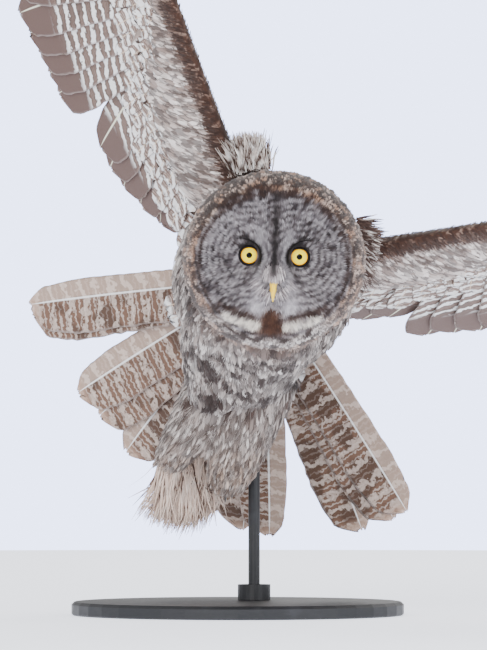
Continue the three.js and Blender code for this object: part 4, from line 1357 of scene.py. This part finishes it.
def barredFinish(name, look):
    f = Finish(name, 0.62)
    web, reach, chance = f.field("web"), f.field("reach"), f.field("chance")
    under, bars, span = f.field("under"), f.field("bars"), f.field("span")
    place = f.math("ADD", bars, f.wobble(85, 2, look["waver"]))
    place = f.math("ADD", place, f.wobble(240, 2, look["waver"] * 0.45))
    place = f.math("ADD", place, f.math("MULTIPLY", f.math("ABSOLUTE", web), -3.0))
    place = f.math("ADD", place, f.math("MULTIPLY", chance, 2.5))
    wave = f.math("SINE", f.math("MULTIPLY", place, 2 * math.pi / look["period"]))
    paleBar = f.step(wave, look["barEdge"], look["barEdge"] + 0.5)
    rowsOf = f.math("MULTIPLY", span, 2 * math.pi / look["fleckRows"])
    rowsOf = f.math("SINE", f.math("ADD", rowsOf, f.wobble(210, 2, 9.0)))
    fleck = f.math("MULTIPLY", f.step(rowsOf, 0.35, 0.85), look["fleckShare"])
    dark = f.mix(fleck, tone(*look["dark"]), tone(*look["fleck"]))
    patch = f.math("MULTIPLY", f.step(f.noise(28, 1), 0.52, 0.62), look["patches"])
    dark = f.mix(patch, dark, dimmed(look["dark"], 0.72))
    pale = f.mix(f.step(f.noise(330, 2), 0.45, 0.7), tone(*look["pale"]), dimmed(look["pale"], 0.9))
    outline = f.step(wave, look["barEdge"] - 0.75, look["barEdge"] - 0.2)
    dark = f.mix(f.math("MULTIPLY", outline, look["outline"]), dark, dimmed(look["dark"], 0.7))
    paleBar = f.math("MULTIPLY", paleBar, look["barShare"])
    below = f.mix(paleBar, dark, pale)
    isOuter = f.math("MULTIPLY", f.step(web, 0.02, 0.12), look["outerPale"])
    below = f.mix(isOuter, below, f.mix(paleBar, tone(*look["outerDark"]), tone(*look["pale"])))
    below = f.mix(f.step(reach, look["tipFrom"], look["tipFrom"] + 0.07), below, tone(*look["tip"]))
    top = f.mix(paleBar, tone(*look["topDark"]), tone(*look["topPale"]))
    top = f.mix(f.math("MULTIPLY", fleck, 0.6), top, tone(*look["topPale"]))
    colour = f.mix(under, top, below)
    rim = f.math("MAXIMUM", f.step(f.math("ABSOLUTE", web), 0.93, 1.0), f.step(reach, 0.98, 1.0))
    colour = f.mix(f.math("MULTIPLY", rim, 0.5), colour, tone(*look["fringe"]))
    fromShaft = f.math("ABSOLUTE", f.math("SUBTRACT", web, 0.01))
    quill = f.math("SUBTRACT", 1.0, f.step(fromShaft, 0.025, 0.055))
    colour = f.mix(f.math("MULTIPLY", quill, 0.85), colour, tone(*look["shaft"]))
    slant = f.math("MULTIPLY", f.math("ABSOLUTE", web), -60.0)
    lines = f.math("SINE", f.math("ADD", f.math("MULTIPLY", span, 5.2), slant))
    shade = f.math("ADD", 1.0, f.math("MULTIPLY", lines, 0.045))
    f.colour(colour, f.math("ADD", shade, f.wobble(700, 2, 0.22)))
    f.set(Sheen_Weight=0.1, Specular_IOR_Level=0.2)
    f.bump(lines, 0.25, 0.0004)
    return f.material


flightFinish = barredFinish("flightFeathers", wingLook)
rectrixFinish = barredFinish("tailFeathers", tailLook)
covertFinish = barredFinish("coverts", covertLook)


def tipOf(w, k):
    inner = k - w["partAfter"]
    if inner < 0:
        return 225 - w["spacing"] * k, 288 - 3 * k
    steps = min(k, 10) + 0.35 * max(k - 10, 0)
    return 225 - w["spacing"] * steps - w["partGap"], w["innerReach"] - 3.2 * inner ** 2


def covertAngle(along):
    hand = (along - wings["wrist"][0]) / (wings["handTip"][0] - wings["wrist"][0])
    return 130 - 38 * along / wings["wrist"][0] if hand < 0 else 92 - 68 * hand


def wingBars(pa, pb, reach, root):
    share = smooth(root[0], 225, 260)
    return pb * (1 - share) + (root[1] + reach) * share


primaries = {
    "lengths": (262, 270, 284, 306, 338, 372, 394, 390, 358, 292), "angles": (86, 12), "widths": (56, 38),
    "fingeredFrom": 5,
}
secondaries = {"count": 13, "width": 56}
alula = {"count": 4, "root": (246, 6), "length": 78, "width": 22}
covertTiers = [
    {"count": 22, "inside": 36, "length": 104, "width": 27, "lift": 5.0, "spread": (2, 328), "rows": 12},
    {"count": 22, "inside": 50, "length": 80, "width": 24, "lift": 7.0, "spread": (8, 322), "rows": 9},
    {"count": 22, "inside": 62, "length": 62, "width": 22, "lift": 9.2, "spread": (14, 312), "rows": 8},
    {"count": 26, "inside": 76, "length": 48, "width": 19, "lift": 10.6, "spread": (16, 300), "rows": 7},
]


def makeWing(side):
    w = wings[side]
    place = wingPlace(side)
    flight = FeatherSheet(place, wingBars, 21 + w["mirror"])
    wrist, elbow, tipAt = wings["wrist"], wings["elbow"], wings["handTip"]
    for k in reversed(range(secondaries["count"])):
        share = k / 9
        root = (wrist[0] - 6 + (elbow[0] - wrist[0] + 6) * share,
                wrist[1] + 6 + (elbow[1] - wrist[1] - 6) * share)
        a, b = np.array(tipOf(w, k)) - root
        flight.add(root, math.degrees(math.atan2(b, a)), math.hypot(a, b), secondaries["width"])
    angles, widths = primaries["angles"], primaries["widths"]
    for k, length in enumerate(primaries["lengths"]):
        share = k / 9
        root = (wrist[0] + 6 + (tipAt[0] - 10 - wrist[0]) * share, wrist[1] + (tipAt[1] - wrist[1]) * share)
        angle = angles[0] + (angles[1] - angles[0]) * share
        width = widths[0] + (widths[1] - widths[0]) * share
        form = "broad" if k < primaries["fingeredFrom"] else "fingered"
        flight.add(root, angle, length, width, form=form, rows=30)
    finishPiece(flight.make("flight_" + side, flightFinish), "flight_feathers", "wing_" + side)
    small = FeatherSheet(place, wingBars, 41 + w["mirror"])
    for tier in covertTiers:
        for face in (-1, 1):
            for i in range(tier["count"]):
                share = i / (tier["count"] - 1)
                at = tier["spread"][0] + (tier["spread"][1] - tier["spread"][0]) * share
                root = (at, armRear(at) - tier["inside"] * (1 - 0.5 * share))
                high = face * tier["lift"] * (0.82 if face > 0 else 1)
                length = tier["length"] * (1 - 0.28 * share) * (0.86 + 0.24 * small.random.random())
                angle = covertAngle(at) + small.random.uniform(-6, 6)
                lift = (high * 0.12, high * (0.88 + 0.12 * (i % 2)))
                small.add(root, angle, length, tier["width"] * (1 - 0.15 * share), lift=lift, form="covert",
                          rows=tier["rows"], outer=0.5, curve=0.03, tilt=0.035)
    for i in range(alula["count"]):
        root = (alula["root"][0], alula["root"][1] - i)
        small.add(root, 4 + 3 * i, alula["length"] * (1 - 0.14 * i), alula["width"], lift=(2, 11 + 1.8 * i),
                  form="covert", rows=9, outer=0.5)
    finishPiece(small.make("coverts_" + side, covertFinish), "flight_feathers", "wing_" + side)


for side in ("right", "left"):
    makeWing(side)


tailCoverts = {"rows": 2, "count": 13, "spread": (-40, 56), "length": 112, "rowStep": 26, "width": 26}


def tailBars(pa, pb, reach, root):
    return reach


def makeTail():
    t = tailForm
    sheet = FeatherSheet(tailPlace(), tailBars, 61)
    for i, angle in enumerate(t["spread"]):
        depth = -t["layer"] * abs(i - 5.5)
        length = t["length"] * (1 - 0.06 * float(bell(angle + 18, 14)))
        sheet.add((-8, angle * t["rootSpread"]), angle, length, t["width"], lift=(depth, depth),
                  turn=1 if i < 6 else -1, curve=t["curve"], rows=40)
    finishPiece(sheet.make("tailFeathers", rectrixFinish), "flight_feathers", "tail")
    c = tailCoverts
    small = FeatherSheet(tailPlace(), tailBars, 62)
    first, last = c["spread"]
    for face in (-1, 1):
        for row in range(c["rows"]):
            for i in range(c["count"]):
                angle = first + (last - first) * i / (c["count"] - 1) + small.random.uniform(-2, 2)
                high = face * ((5.5 if face > 0 else 12) + 1.5 * row)
                length = (c["length"] - c["rowStep"] * row) * small.random.uniform(0.88, 1.05)
                small.add((-4, angle * t["rootSpread"]), angle, length, c["width"], lift=(high * 0.5, high),
                          turn=1 if i < 5 else -1, form="covert", curve=0, rows=10, outer=0.5)
    finishPiece(small.make("tailCoverts", covertFinish), "flight_feathers", "tail")


makeTail()

# Loose plumes that stand over the root of each wing and trail behind the right leg
tufts = {
    "scapulars_right": {
        "mirror": -1, "start": (-60, -26, 56), "end": (-76, 62, 32), "lean": (50, 30), "sweep": (0.15, 1.1),
        "length": 44, "dark": 0.3, "tan": 0.0, "width": 34, "strands": 2600, "seed": 80, "node": "torso",
    },
    "scapulars_left": {
        "mirror": 1, "start": (56, -26, 50), "end": (72, 62, 26), "lean": (6, -12), "sweep": (0.15, 1.0),
        "length": 33, "dark": 0.7, "tan": 0.0, "width": 34, "strands": 2600, "seed": 82, "node": "torso",
    },
    "ventPlumes": {
        "mirror": 1, "start": (20, 140, -236), "end": (48, 172, -232), "lean": (-66, -94),
        "sweep": (0.3, 0.6), "length": 78, "dark": 0.0, "tan": 0.5, "width": 54, "strands": 3200,
        "seed": 90, "node": "leg_right",
    },
}


def makeTuft(name, look):
    parts, webAll, reachAll, chanceAll = [], [], [], []
    roll = math.radians(58)
    random = np.random.default_rng(look["seed"])
    s = np.linspace(0, 1, 6)[:, None]
    start, end = np.array(look["start"], float), np.array(look["end"], float)
    for i in range(look["strands"]):
        share = random.random()
        lean = look["lean"][0] + (look["lean"][1] - look["lean"][0]) * share + random.normal(0, 5)
        lean = math.radians(lean)
        along = look["mirror"] * bodyX * math.cos(lean) + bodyZ * math.sin(lean)
        sweep = look["sweep"][0] + (look["sweep"][1] - look["sweep"][0]) * share + random.normal(0, 0.12)
        along = unit(along + bodyY * sweep)
        back = unit(bodyY - along[1] * along)
        up = np.cross(along, back) * look["mirror"]
        across = back * math.cos(roll) + up * math.sin(roll)
        above = up * math.cos(roll) - back * math.sin(roll)
        place = placeIn(bodyPoint(*(start + (end - start) * share)), along, across, above)
        length = look["length"] * (0.88 + 0.24 * share) * random.uniform(0.5, 1.04)
        taper = np.sin(np.pi * np.clip(0.12 + 0.86 * s, 0, 1)) ** 0.6
        wide = random.uniform(0.3, 1.25) * taper * np.array([[-1, 1]])
        drift = np.clip(random.normal(0, 0.5), -1, 1) + 0.4 * random.normal() * s ** 1.4
        drift = look["width"] / 2 * (drift + 0.07 * np.sin(5 * s + 6.3 * random.random()))
        lift = random.uniform(-2, 6) * s + random.normal(0, 3.5) * s ** 2
        points = place(s * length + 0 * wide, drift + wide, lift + 0 * wide)
        faces = [(2 * k, 2 * k + 1, 2 * k + 3, 2 * k + 2) for k in range(5)]
        parts.append((points.reshape(-1, 3), faces))
        reachAll.append((s + 0 * wide).ravel())
        webAll.append((np.sign(wide) * 0.5).ravel())
        chanceAll.append(np.full(12, random.random()))
    points, faces = joinParts(parts)
    obj = makeObject(name, points, faces, bodyPlumage)
    reach, web, chance = [np.concatenate(v) for v in (reachAll, webAll, chanceAll)]
    fine, mid = grain(points, 2.0, 4), grain(points, 6, 5)
    colour = blendTone(tones["greyPale"], tones["greyMid"], 0.2 + 0.8 * (fine - 0.4))
    colour = blendTone(colour, tones["tan"], look["tan"] * (0.6 + 0.8 * (mid - 0.3)))
    marks = smooth(mid + 0.35 * (chance - 0.5), 0.62 - 0.5 * look["dark"], 0.74 - 0.4 * look["dark"])
    marks = marks * (1 - 0.6 * smooth(reach, 0.8, 1) * (1 - look["dark"]))
    storePlume(obj.data, blendTone(colour, tones["blotch"], marks * 0.85), 0.06 + 0.4 * look["dark"])
    storeField(obj.data, "lay", "FLOAT_VECTOR", "POINT", points / fleckSteps["tufts"])
    flat = loopVertices(obj.data)
    storePatches(obj.data, flat // 12, web[flat] + 0.5, reach[flat], 40, (0.25, 0.1))
    finishPiece(obj, "plumage", look["node"])


for name, look in tufts.items():
    makeTuft(name, look)
print("loose tufts made")


# Eyes: a wet ball whose colours follow the angle from where it looks
eyeLook = {
    "pupil": (2, 2, 3), "deep": (238, 178, 8), "bright": (250, 205, 36), "rim": (206, 150, 20),
    "around": (10, 8, 8),
}


def eyeFinish():
    look = {key: tone(*value) for key, value in eyeLook.items()}
    f = Finish("owlEye", 0.12)
    gaze, spoke = f.field("gaze"), f.field("spoke")
    fibres = f.noise(9.0, 3, f.vector(f.math("MULTIPLY", spoke, 6.0), f.math("MULTIPLY", gaze, 4.0)))
    iris = f.mix(fibres, look["deep"], look["bright"])
    iris = f.mix(f.step(gaze, 0.54, 0.7), iris, look["rim"])
    iris = f.mix(f.step(gaze, 0.222, 0.24), look["pupil"], iris)
    f.colour(f.mix(f.step(gaze, 0.69, 0.73), iris, look["around"]))
    f.set(Coat_Weight=0.14, Coat_Roughness=0.04, Specular_IOR_Level=0.06)
    f.bump(f.noise(500, 1), 0.03, 0.0002)
    return f.material


def darkFinish(name, deep, light, roughness, scale):
    f = Finish(name, roughness)
    f.colour(f.mix(f.noise(scale, 4), tone(*deep), tone(*light)))
    f.bump(f.noise(scale * 2.5, 3), 0.2, 0.0004)
    return f.material


eyeWet = eyeFinish()
lidSkin = darkFinish("lidSkin", (12, 9, 9), (34, 27, 26), 0.6, 900)
lidSkin.node_tree.nodes["Principled BSDF"].inputs["Specular IOR Level"].default_value = 0.15


def makeEye(side, name):
    r = eyes["radius"] - 0.15
    angles = np.concatenate([np.linspace(0.02, 0.9, 22), np.linspace(1.0, math.pi - 0.05, 18)])
    turn = circle(48)
    rings = []
    for a in angles:
        bulge = 0.5 * float(bell(a, 0.5))
        x = (r + bulge) * math.sin(a) * np.cos(turn)
        z = (r + bulge) * math.sin(a) * np.sin(turn)
        y = -(eyes["front"] - eyes["radius"]) - (r + bulge) * math.cos(a)
        rings.append(headPoint(side * eyes["apart"] + x, y, eyes["up"] + z))
    points, faces = loft(rings)
    obj = makeObject(name, points, faces, eyeWet)
    makeFacesPointOut(obj.data)
    gaze = np.concatenate([np.repeat(angles, 48), [0, math.pi]])
    spoke = np.concatenate([np.tile(np.cos(turn), len(angles)), [0, 0]])
    storeField(obj.data, "gaze", "FLOAT", "POINT", gaze)
    storeField(obj.data, "spoke", "FLOAT", "POINT", spoke)
    finishPiece(obj, "eye", "eye_left" if side > 0 else "eye_right")
    # the lids: a black rim drawn to a point towards the bill
    point = (math.pi if side > 0 else 0) + 0.35 * side
    fromPoint = np.angle(np.exp(1j * (turn - point)))
    opening = 1 + eyes["corner"] * bell(fromPoint, 0.36) - eyes["lid"] * bell(turn - math.pi / 2, 0.7)
    opening = eyes["iris"] * opening
    rings = []
    lidRows = ((0.0, -3.6), (0.0, 0.2), (0.5, 0.7), (1.1, 0.6), (1.8, 0.0), (2.5, -1.8), (2.6, -5.5))
    for spread, forward in lidRows:
        reach = opening + spread
        ball = np.sqrt(np.maximum(r ** 2 - opening ** 2, 4))
        y = -(eyes["front"] - eyes["radius"]) - ball - forward
        x, z = side * eyes["apart"] + reach * np.cos(turn), eyes["up"] + reach * np.sin(turn)
        rings.append(headPoint(x, y, z))
    rings = np.array(rings)
    count, around = rings.shape[:2]
    faces = []
    for i in range(count):
        for j in range(around):
            k, m = (j + 1) % around, (i + 1) % count
            faces.append((i * around + j, i * around + k, m * around + k, m * around + j))
    lid = makeObject(name + "Lid", rings.reshape(-1, 3), faces, lidSkin)
    makeFacesPointOut(lid.data)
    finishPiece(lid, "plumage", "head")


def faceForward(x, z):
    share = np.hypot(x / headForm["halfWidth"], z / headForm["halfHeight"])
    table = np.array(headProfile, float)
    return np.interp(share, table[:12, 0], table[:12, 1]) + faceRelief(x, z) - skinShape["faceDepth"]


def makeBrows():
    parts = []
    for side in (1, -1):
        line = np.array(browLine, float)
        s = np.linspace(0, len(line) - 1, 22)
        x = side * (eyes["apart"] - np.interp(s, np.arange(len(line)), line[:, 0]))
        z = eyes["up"] + np.interp(s, np.arange(len(line)), line[:, 1])
        path = headPoint(x, -(faceForward(x, z) + 1.5), z)
        wide = 0.85 * np.sin(np.pi * np.clip(np.linspace(0.12, 0.97, 22) ** 0.7, 0, 1)) ** 0.8 + 0.12
        parts.append(tube(path, wide, wide * 0.8, 8, bodyY))
    obj = makeObject("browLines", *joinParts(parts), lidSkin)
    makeFacesPointOut(obj.data)
    finishPiece(obj, "plumage", "head")


makeBrows()
makeEye(1, "eyeLeft")
makeEye(-1, "eyeRight")


# Bill: horn with a darker root, with painted shade in the gape and in the nostrils sunk into its sides
billForm = {
    "upper": [(44, -14, 5.9, 6.4), (52, -15.5, 5.6, 6.1), (60, -17.2, 5.0, 5.6), (65.5, -19.6, 4.6, 5.1),
              (69.4, -23, 4.0, 4.5), (72.2, -27.5, 3.2, 3.6), (73, -32, 2.6, 2.9), (72.6, -37, 1.6, 1.8),
              (71.2, -42, 0.5, 0.6)],
    "lower": [(46, -27, 4.4, 3.0), (53, -28.4, 4.1, 2.8), (58, -29.6, 3.6, 2.5), (63, -32, 2.8, 2.0),
              (65.6, -33.6, 1.6, 1.3)],
}
nostril = {"out": 4.4, "ahead": 60.0, "down": 14.5, "width": 1.7, "depth": 1.2}


def billFinish():
    f = Finish("billHorn", 0.32)
    pale = f.mix(f.noise(260, 4), tone(206, 162, 74), tone(228, 192, 112))
    f.colour(f.mix(f.field("dark"), pale, tone(58, 46, 38)))
    f.set(Coat_Weight=0.25, Coat_Roughness=0.2)
    f.bump(f.noise(700, 3), 0.12, 0.0003)
    return f.material


def makeBill():
    horn = billFinish()
    for name, node in (("upper", "bill_upper"), ("lower", "bill_lower")):
        rows = np.array(billForm[name], float)
        fine = np.linspace(0, len(rows) - 1, 4 * len(rows))
        rows = np.stack([np.interp(fine, np.arange(len(rows)), rows[:, k]) for k in range(4)], -1)
        path = headPoint(0 * rows[:, 0], -rows[:, 0], rows[:, 1])
        points, faces = tube(path, rows[:, 2], rows[:, 3], 28, np.array([1.0, 0, 0]))
        x, f, z = toHead(points)
        n = nostril
        fromHole = np.sqrt((np.abs(x) - n["out"]) ** 2 + (f - n["ahead"]) ** 2 + (z + n["down"]) ** 2)
        hole = bell(fromHole, n["width"])
        points = points - unit(points - points.mean(0)) * (hole * n["depth"])[:, None]
        # painted shade in the nostrils and along the gape between the two halves; the root is darker too
        gapeShade = (0.75 if name == "lower" else 0) * smooth(z, -31, -29)
        dark = np.clip(hole * 1.3 + gapeShade + 0.35 * smooth(-f, -58, -48), 0, 1)
        obj = makeObject("bill" + name.capitalize(), points, faces, horn)
        makeFacesPointOut(obj.data)
        storeField(obj.data, "dark", "FLOAT", "POINT", dark)
        finishPiece(obj, "bill", node)


makeBill()


# Bristles that grow round the root of the bill and hide most of it
bristles = {
    "around": 520, "onRidge": 760, "length": (10, 19), "aroundWidth": 0.42, "ridgeWidth": 0.5, "seed": 5,
}
bristleRidge = ((54, -1), (58, -6), (61.5, -9.8), (66.5, -12.6), (71, -16.8), (74.2, -21.8), (75.2, -26.5))


def makeBristles():
    look = bristles
    random = np.random.default_rng(look["seed"])
    parts, shades = [], []
    faces = [(k, k + 4, k + 5, k + 1) for k in range(3)]
    for i in range(look["around"]):
        turn = random.uniform(0, 2 * math.pi)
        x0 = (6.5 + random.uniform(-1.5, 5)) * math.cos(turn)
        z0 = -17 + (9 + random.uniform(-2, 6)) * math.sin(turn)
        if z0 < -30 and abs(x0) < 6:
            continue
        forward = 53.5 + float(muzzleRise(x0, z0)) - 5.5 - 0.1 * abs(z0 + 20)
        length = random.uniform(*look["length"])
        fall = (-0.85 if z0 < 2 else 0.15) + random.uniform(-0.25, 0.25)
        way = np.array([x0 * 0.10 + math.copysign(0.28, x0), 0.42, fall])
        way = unit(way + random.uniform(-0.14, 0.14, 3))
        s = np.array([0, 0.35, 0.7, 1.0])[:, None]
        line = np.array([x0, forward, z0]) + way * s * length + np.array([0, 0, -0.12]) * s ** 2 * length
        line[:, 1] -= 0.35 * length * s[:, 0] ** 2
        wide = look["aroundWidth"] * (1 - s[:, 0] ** 2) + 0.02
        left, right = line.copy(), line.copy()
        left[:, 0] -= wide
        right[:, 0] += wide
        points = np.concatenate([left, right])
        parts.append((headPoint(points[:, 0], -points[:, 1], points[:, 2]), faces))
        shades.append(np.full(8, random.random()))
    ridge = np.array(bristleRidge, float)
    for i in range(look["onRidge"]):
        x0 = random.normal(0, 3.2)
        start = random.uniform(0, 0.62)
        end = min(start + random.uniform(0.32, 0.5), random.uniform(0.72, 0.97))
        s = np.linspace(start, end, 4) * (len(ridge) - 1)
        f0, z0 = [np.interp(s, np.arange(len(ridge)), ridge[:, k]) for k in (0, 1)]
        spread = x0 * np.linspace(1.0, 1.35, 4) + random.normal(0, 0.6) * np.linspace(0, 1, 4)
        f0 = f0 - 0.085 * spread ** 2 + random.uniform(-0.5, 1.1)
        wide = look["ridgeWidth"] * np.array([0.8, 1, 0.8, 0.04])
        left = np.stack([spread - wide, -f0, z0], -1)
        right = np.stack([spread + wide, -f0, z0], -1)
        points = np.concatenate([left, right])
        parts.append((headPoint(points[:, 0], points[:, 1], points[:, 2]), faces))
        shades.append(np.full(8, random.random()))
    points, faces = joinParts(parts)
    obj = makeObject("bristles", points, faces, bodyPlumage)
    shade = np.concatenate(shades)
    x, f, z = toHead(points)
    colour = blendTone(tones["bristlePale"], tones["bristleDark"], shade)
    colour = blendTone(colour, tones["black"], bell(x, 3.2) * smooth(z, -22, -12) * 0.85)
    storePlume(obj.data, colour, 0.15)
    storeField(obj.data, "lay", "FLOAT_VECTOR", "POINT", points / fleckSteps["face"])
    cell, step = np.divmod(loopVertices(obj.data), 8)
    storePatches(obj.data, cell, step // 4, (step % 4) / 3, 30, (0.2, 0.1))
    finishPiece(obj, "plumage", "head")


makeBristles()

clawHorn = darkFinish("clawHorn", (14, 12, 11), (58, 50, 44), 0.28, 420)


def makeTalons(side):
    parts = []
    for toe in toes:
        reach = 1 + footForm["claw"] / (footForm["toeLength"] * toe[2])
        path = toePath(side, toe, 0.86, reach, 12)
        taper = np.interp(np.linspace(0, 1, 13), (0, 0.33, 0.66, 1), (1, 0.95, 0.62, 0.14))
        radius = footForm["clawRadius"] * taper
        parts.append(tube(path, radius, radius * 1.1, 16, np.array([1.0, 0, 0])))
    obj = makeObject("talons_" + side, *joinParts(parts), clawHorn)
    makeFacesPointOut(obj.data)
    finishPiece(obj, "claw", *["talon_%s_%d" % (side, i + 1) for i in range(4)])


for side in ("right", "left"):
    makeTalons(side)
print("eyes, bill, bristles and talons made")


# The stand's own solids show, in satin black paint
def standFinish():
    f = Finish("standPaint", 0.42)
    worn = f.step(f.noise(38, 4), 0.52, 0.75)
    f.colour(f.mix(f.math("MULTIPLY", worn, 0.5), tone(40, 41, 44), tone(60, 61, 65)))
    f.plug(f.shader.inputs["Roughness"], f.math("ADD", 0.36, f.math("MULTIPLY", f.noise(160, 3), 0.16)))
    f.bump(f.noise(1900, 2), 0.12, 0.0002)
    return f.material


standPaint = standFinish()
for name in ("stand_base", "stand_rod", "stand_collar"):
    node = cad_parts[name]
    if not node.material_slots:
        node.data.materials.append(standPaint)
    for place in node.material_slots:
        place.material = standPaint


# Plain pale floor, soft light, and the camera at the photograph's place
studio = {
    "floorRadius": 2.4, "floorGlow": 1.3, "sky": (0.9, 0.9, 0.93), "skyPower": 0.9, "backdrop": 5.4,
    "backdropColour": (0.6, 0.68, 1.0), "aim": (0.02, -0.1, 0.38), "cameraPlace": (0.006, -8.275, 0.300),
    "focalPixels": 8000, "longSide": 650, "sensor": 36.0,
}
# where each light stands, its size, power and colour
lights = {
    "key": ((-1.3, -3.6, 2.0), 1.8, 96.0, (1.0, 0.985, 0.96)),
    "fill": ((2.4, -2.2, 1.0), 2.0, 30.0, (0.95, 0.97, 1.0)),
    "bounce": ((0.2, -3.0, 0.05), 1.2, 60.0, (0.97, 0.98, 1.0)),
    "rim": ((0.8, 2.4, 2.2), 1.6, 40.0, (1.0, 0.98, 0.96)),
}


def makeFloor():
    turn = circle(96)
    radii = (200, 600, 1200, studio["floorRadius"] / mm)
    rings = [np.stack([r * np.cos(turn), r * np.sin(turn), 0 * turn], -1) for r in radii]
    points, faces = loft(rings)
    points = points[:-1]
    faces = [f for f in faces if max(f) < len(points)]
    f = Finish("paleFloor", 0.75)
    f.colour(f.mix(f.noise(5, 3), (0.90, 0.91, 0.95, 1), (0.93, 0.94, 0.98, 1)))
    # the floor glows as well, and so lights the owl's underside softly from below
    f.set(Emission_Color=(0.83, 0.88, 1.0, 1), Emission_Strength=studio["floorGlow"])
    f.bump(f.noise(240, 2), 0.05, 0.0005)
    floor = makeObject("floor", points, faces, f.material)
    makeFacesPointOut(floor.data)


def makeLight(name, place, size, power, colour):
    lamp = bpy.data.lights.new(name, "AREA")
    lamp.energy, lamp.size, lamp.color = power, size, colour
    obj = addToScene(name, lamp)
    obj.location = place
    obj.rotation_euler = (Vector(studio["aim"]) - Vector(place)).to_track_quat("-Z", "Y").to_euler()
    # the bounce lifts the underside as snow would, with no spot in the pupils
    obj.visible_glossy = name != "bounce"


makeFloor()
for name, look in lights.items():
    makeLight(name, *look)
world = bpy.data.worlds.new("studioSky")
world.use_nodes = True
sky = world.node_tree.nodes["Background"]
tint = world.node_tree.nodes.new("ShaderNodeMix")
tint.data_type = "RGBA"
tint.inputs[6].default_value = (*studio["sky"], 1)
tint.inputs[7].default_value = (*studio["backdropColour"], 1)
seen = world.node_tree.nodes.new("ShaderNodeLightPath")
power = world.node_tree.nodes.new("ShaderNodeMapRange")
power.inputs["To Min"].default_value = studio["skyPower"]
power.inputs["To Max"].default_value = studio["backdrop"]
world.node_tree.links.new(seen.outputs["Is Camera Ray"], power.inputs["Value"])
world.node_tree.links.new(seen.outputs["Is Camera Ray"], tint.inputs[0])
world.node_tree.links.new(tint.outputs[2], sky.inputs[0])
world.node_tree.links.new(power.outputs["Result"], sky.inputs[1])
bpy.context.scene.world = world

lens = bpy.data.cameras.new("camera")
lens.sensor_width = studio["sensor"]
lens.lens = studio["focalPixels"] / studio["longSide"] * studio["sensor"]
lens.clip_end = 100
camera = addToScene("camera", lens)
camera.location = studio["cameraPlace"]
camera.rotation_euler = (math.radians(90), 0, 0)
bpy.context.scene.camera = camera
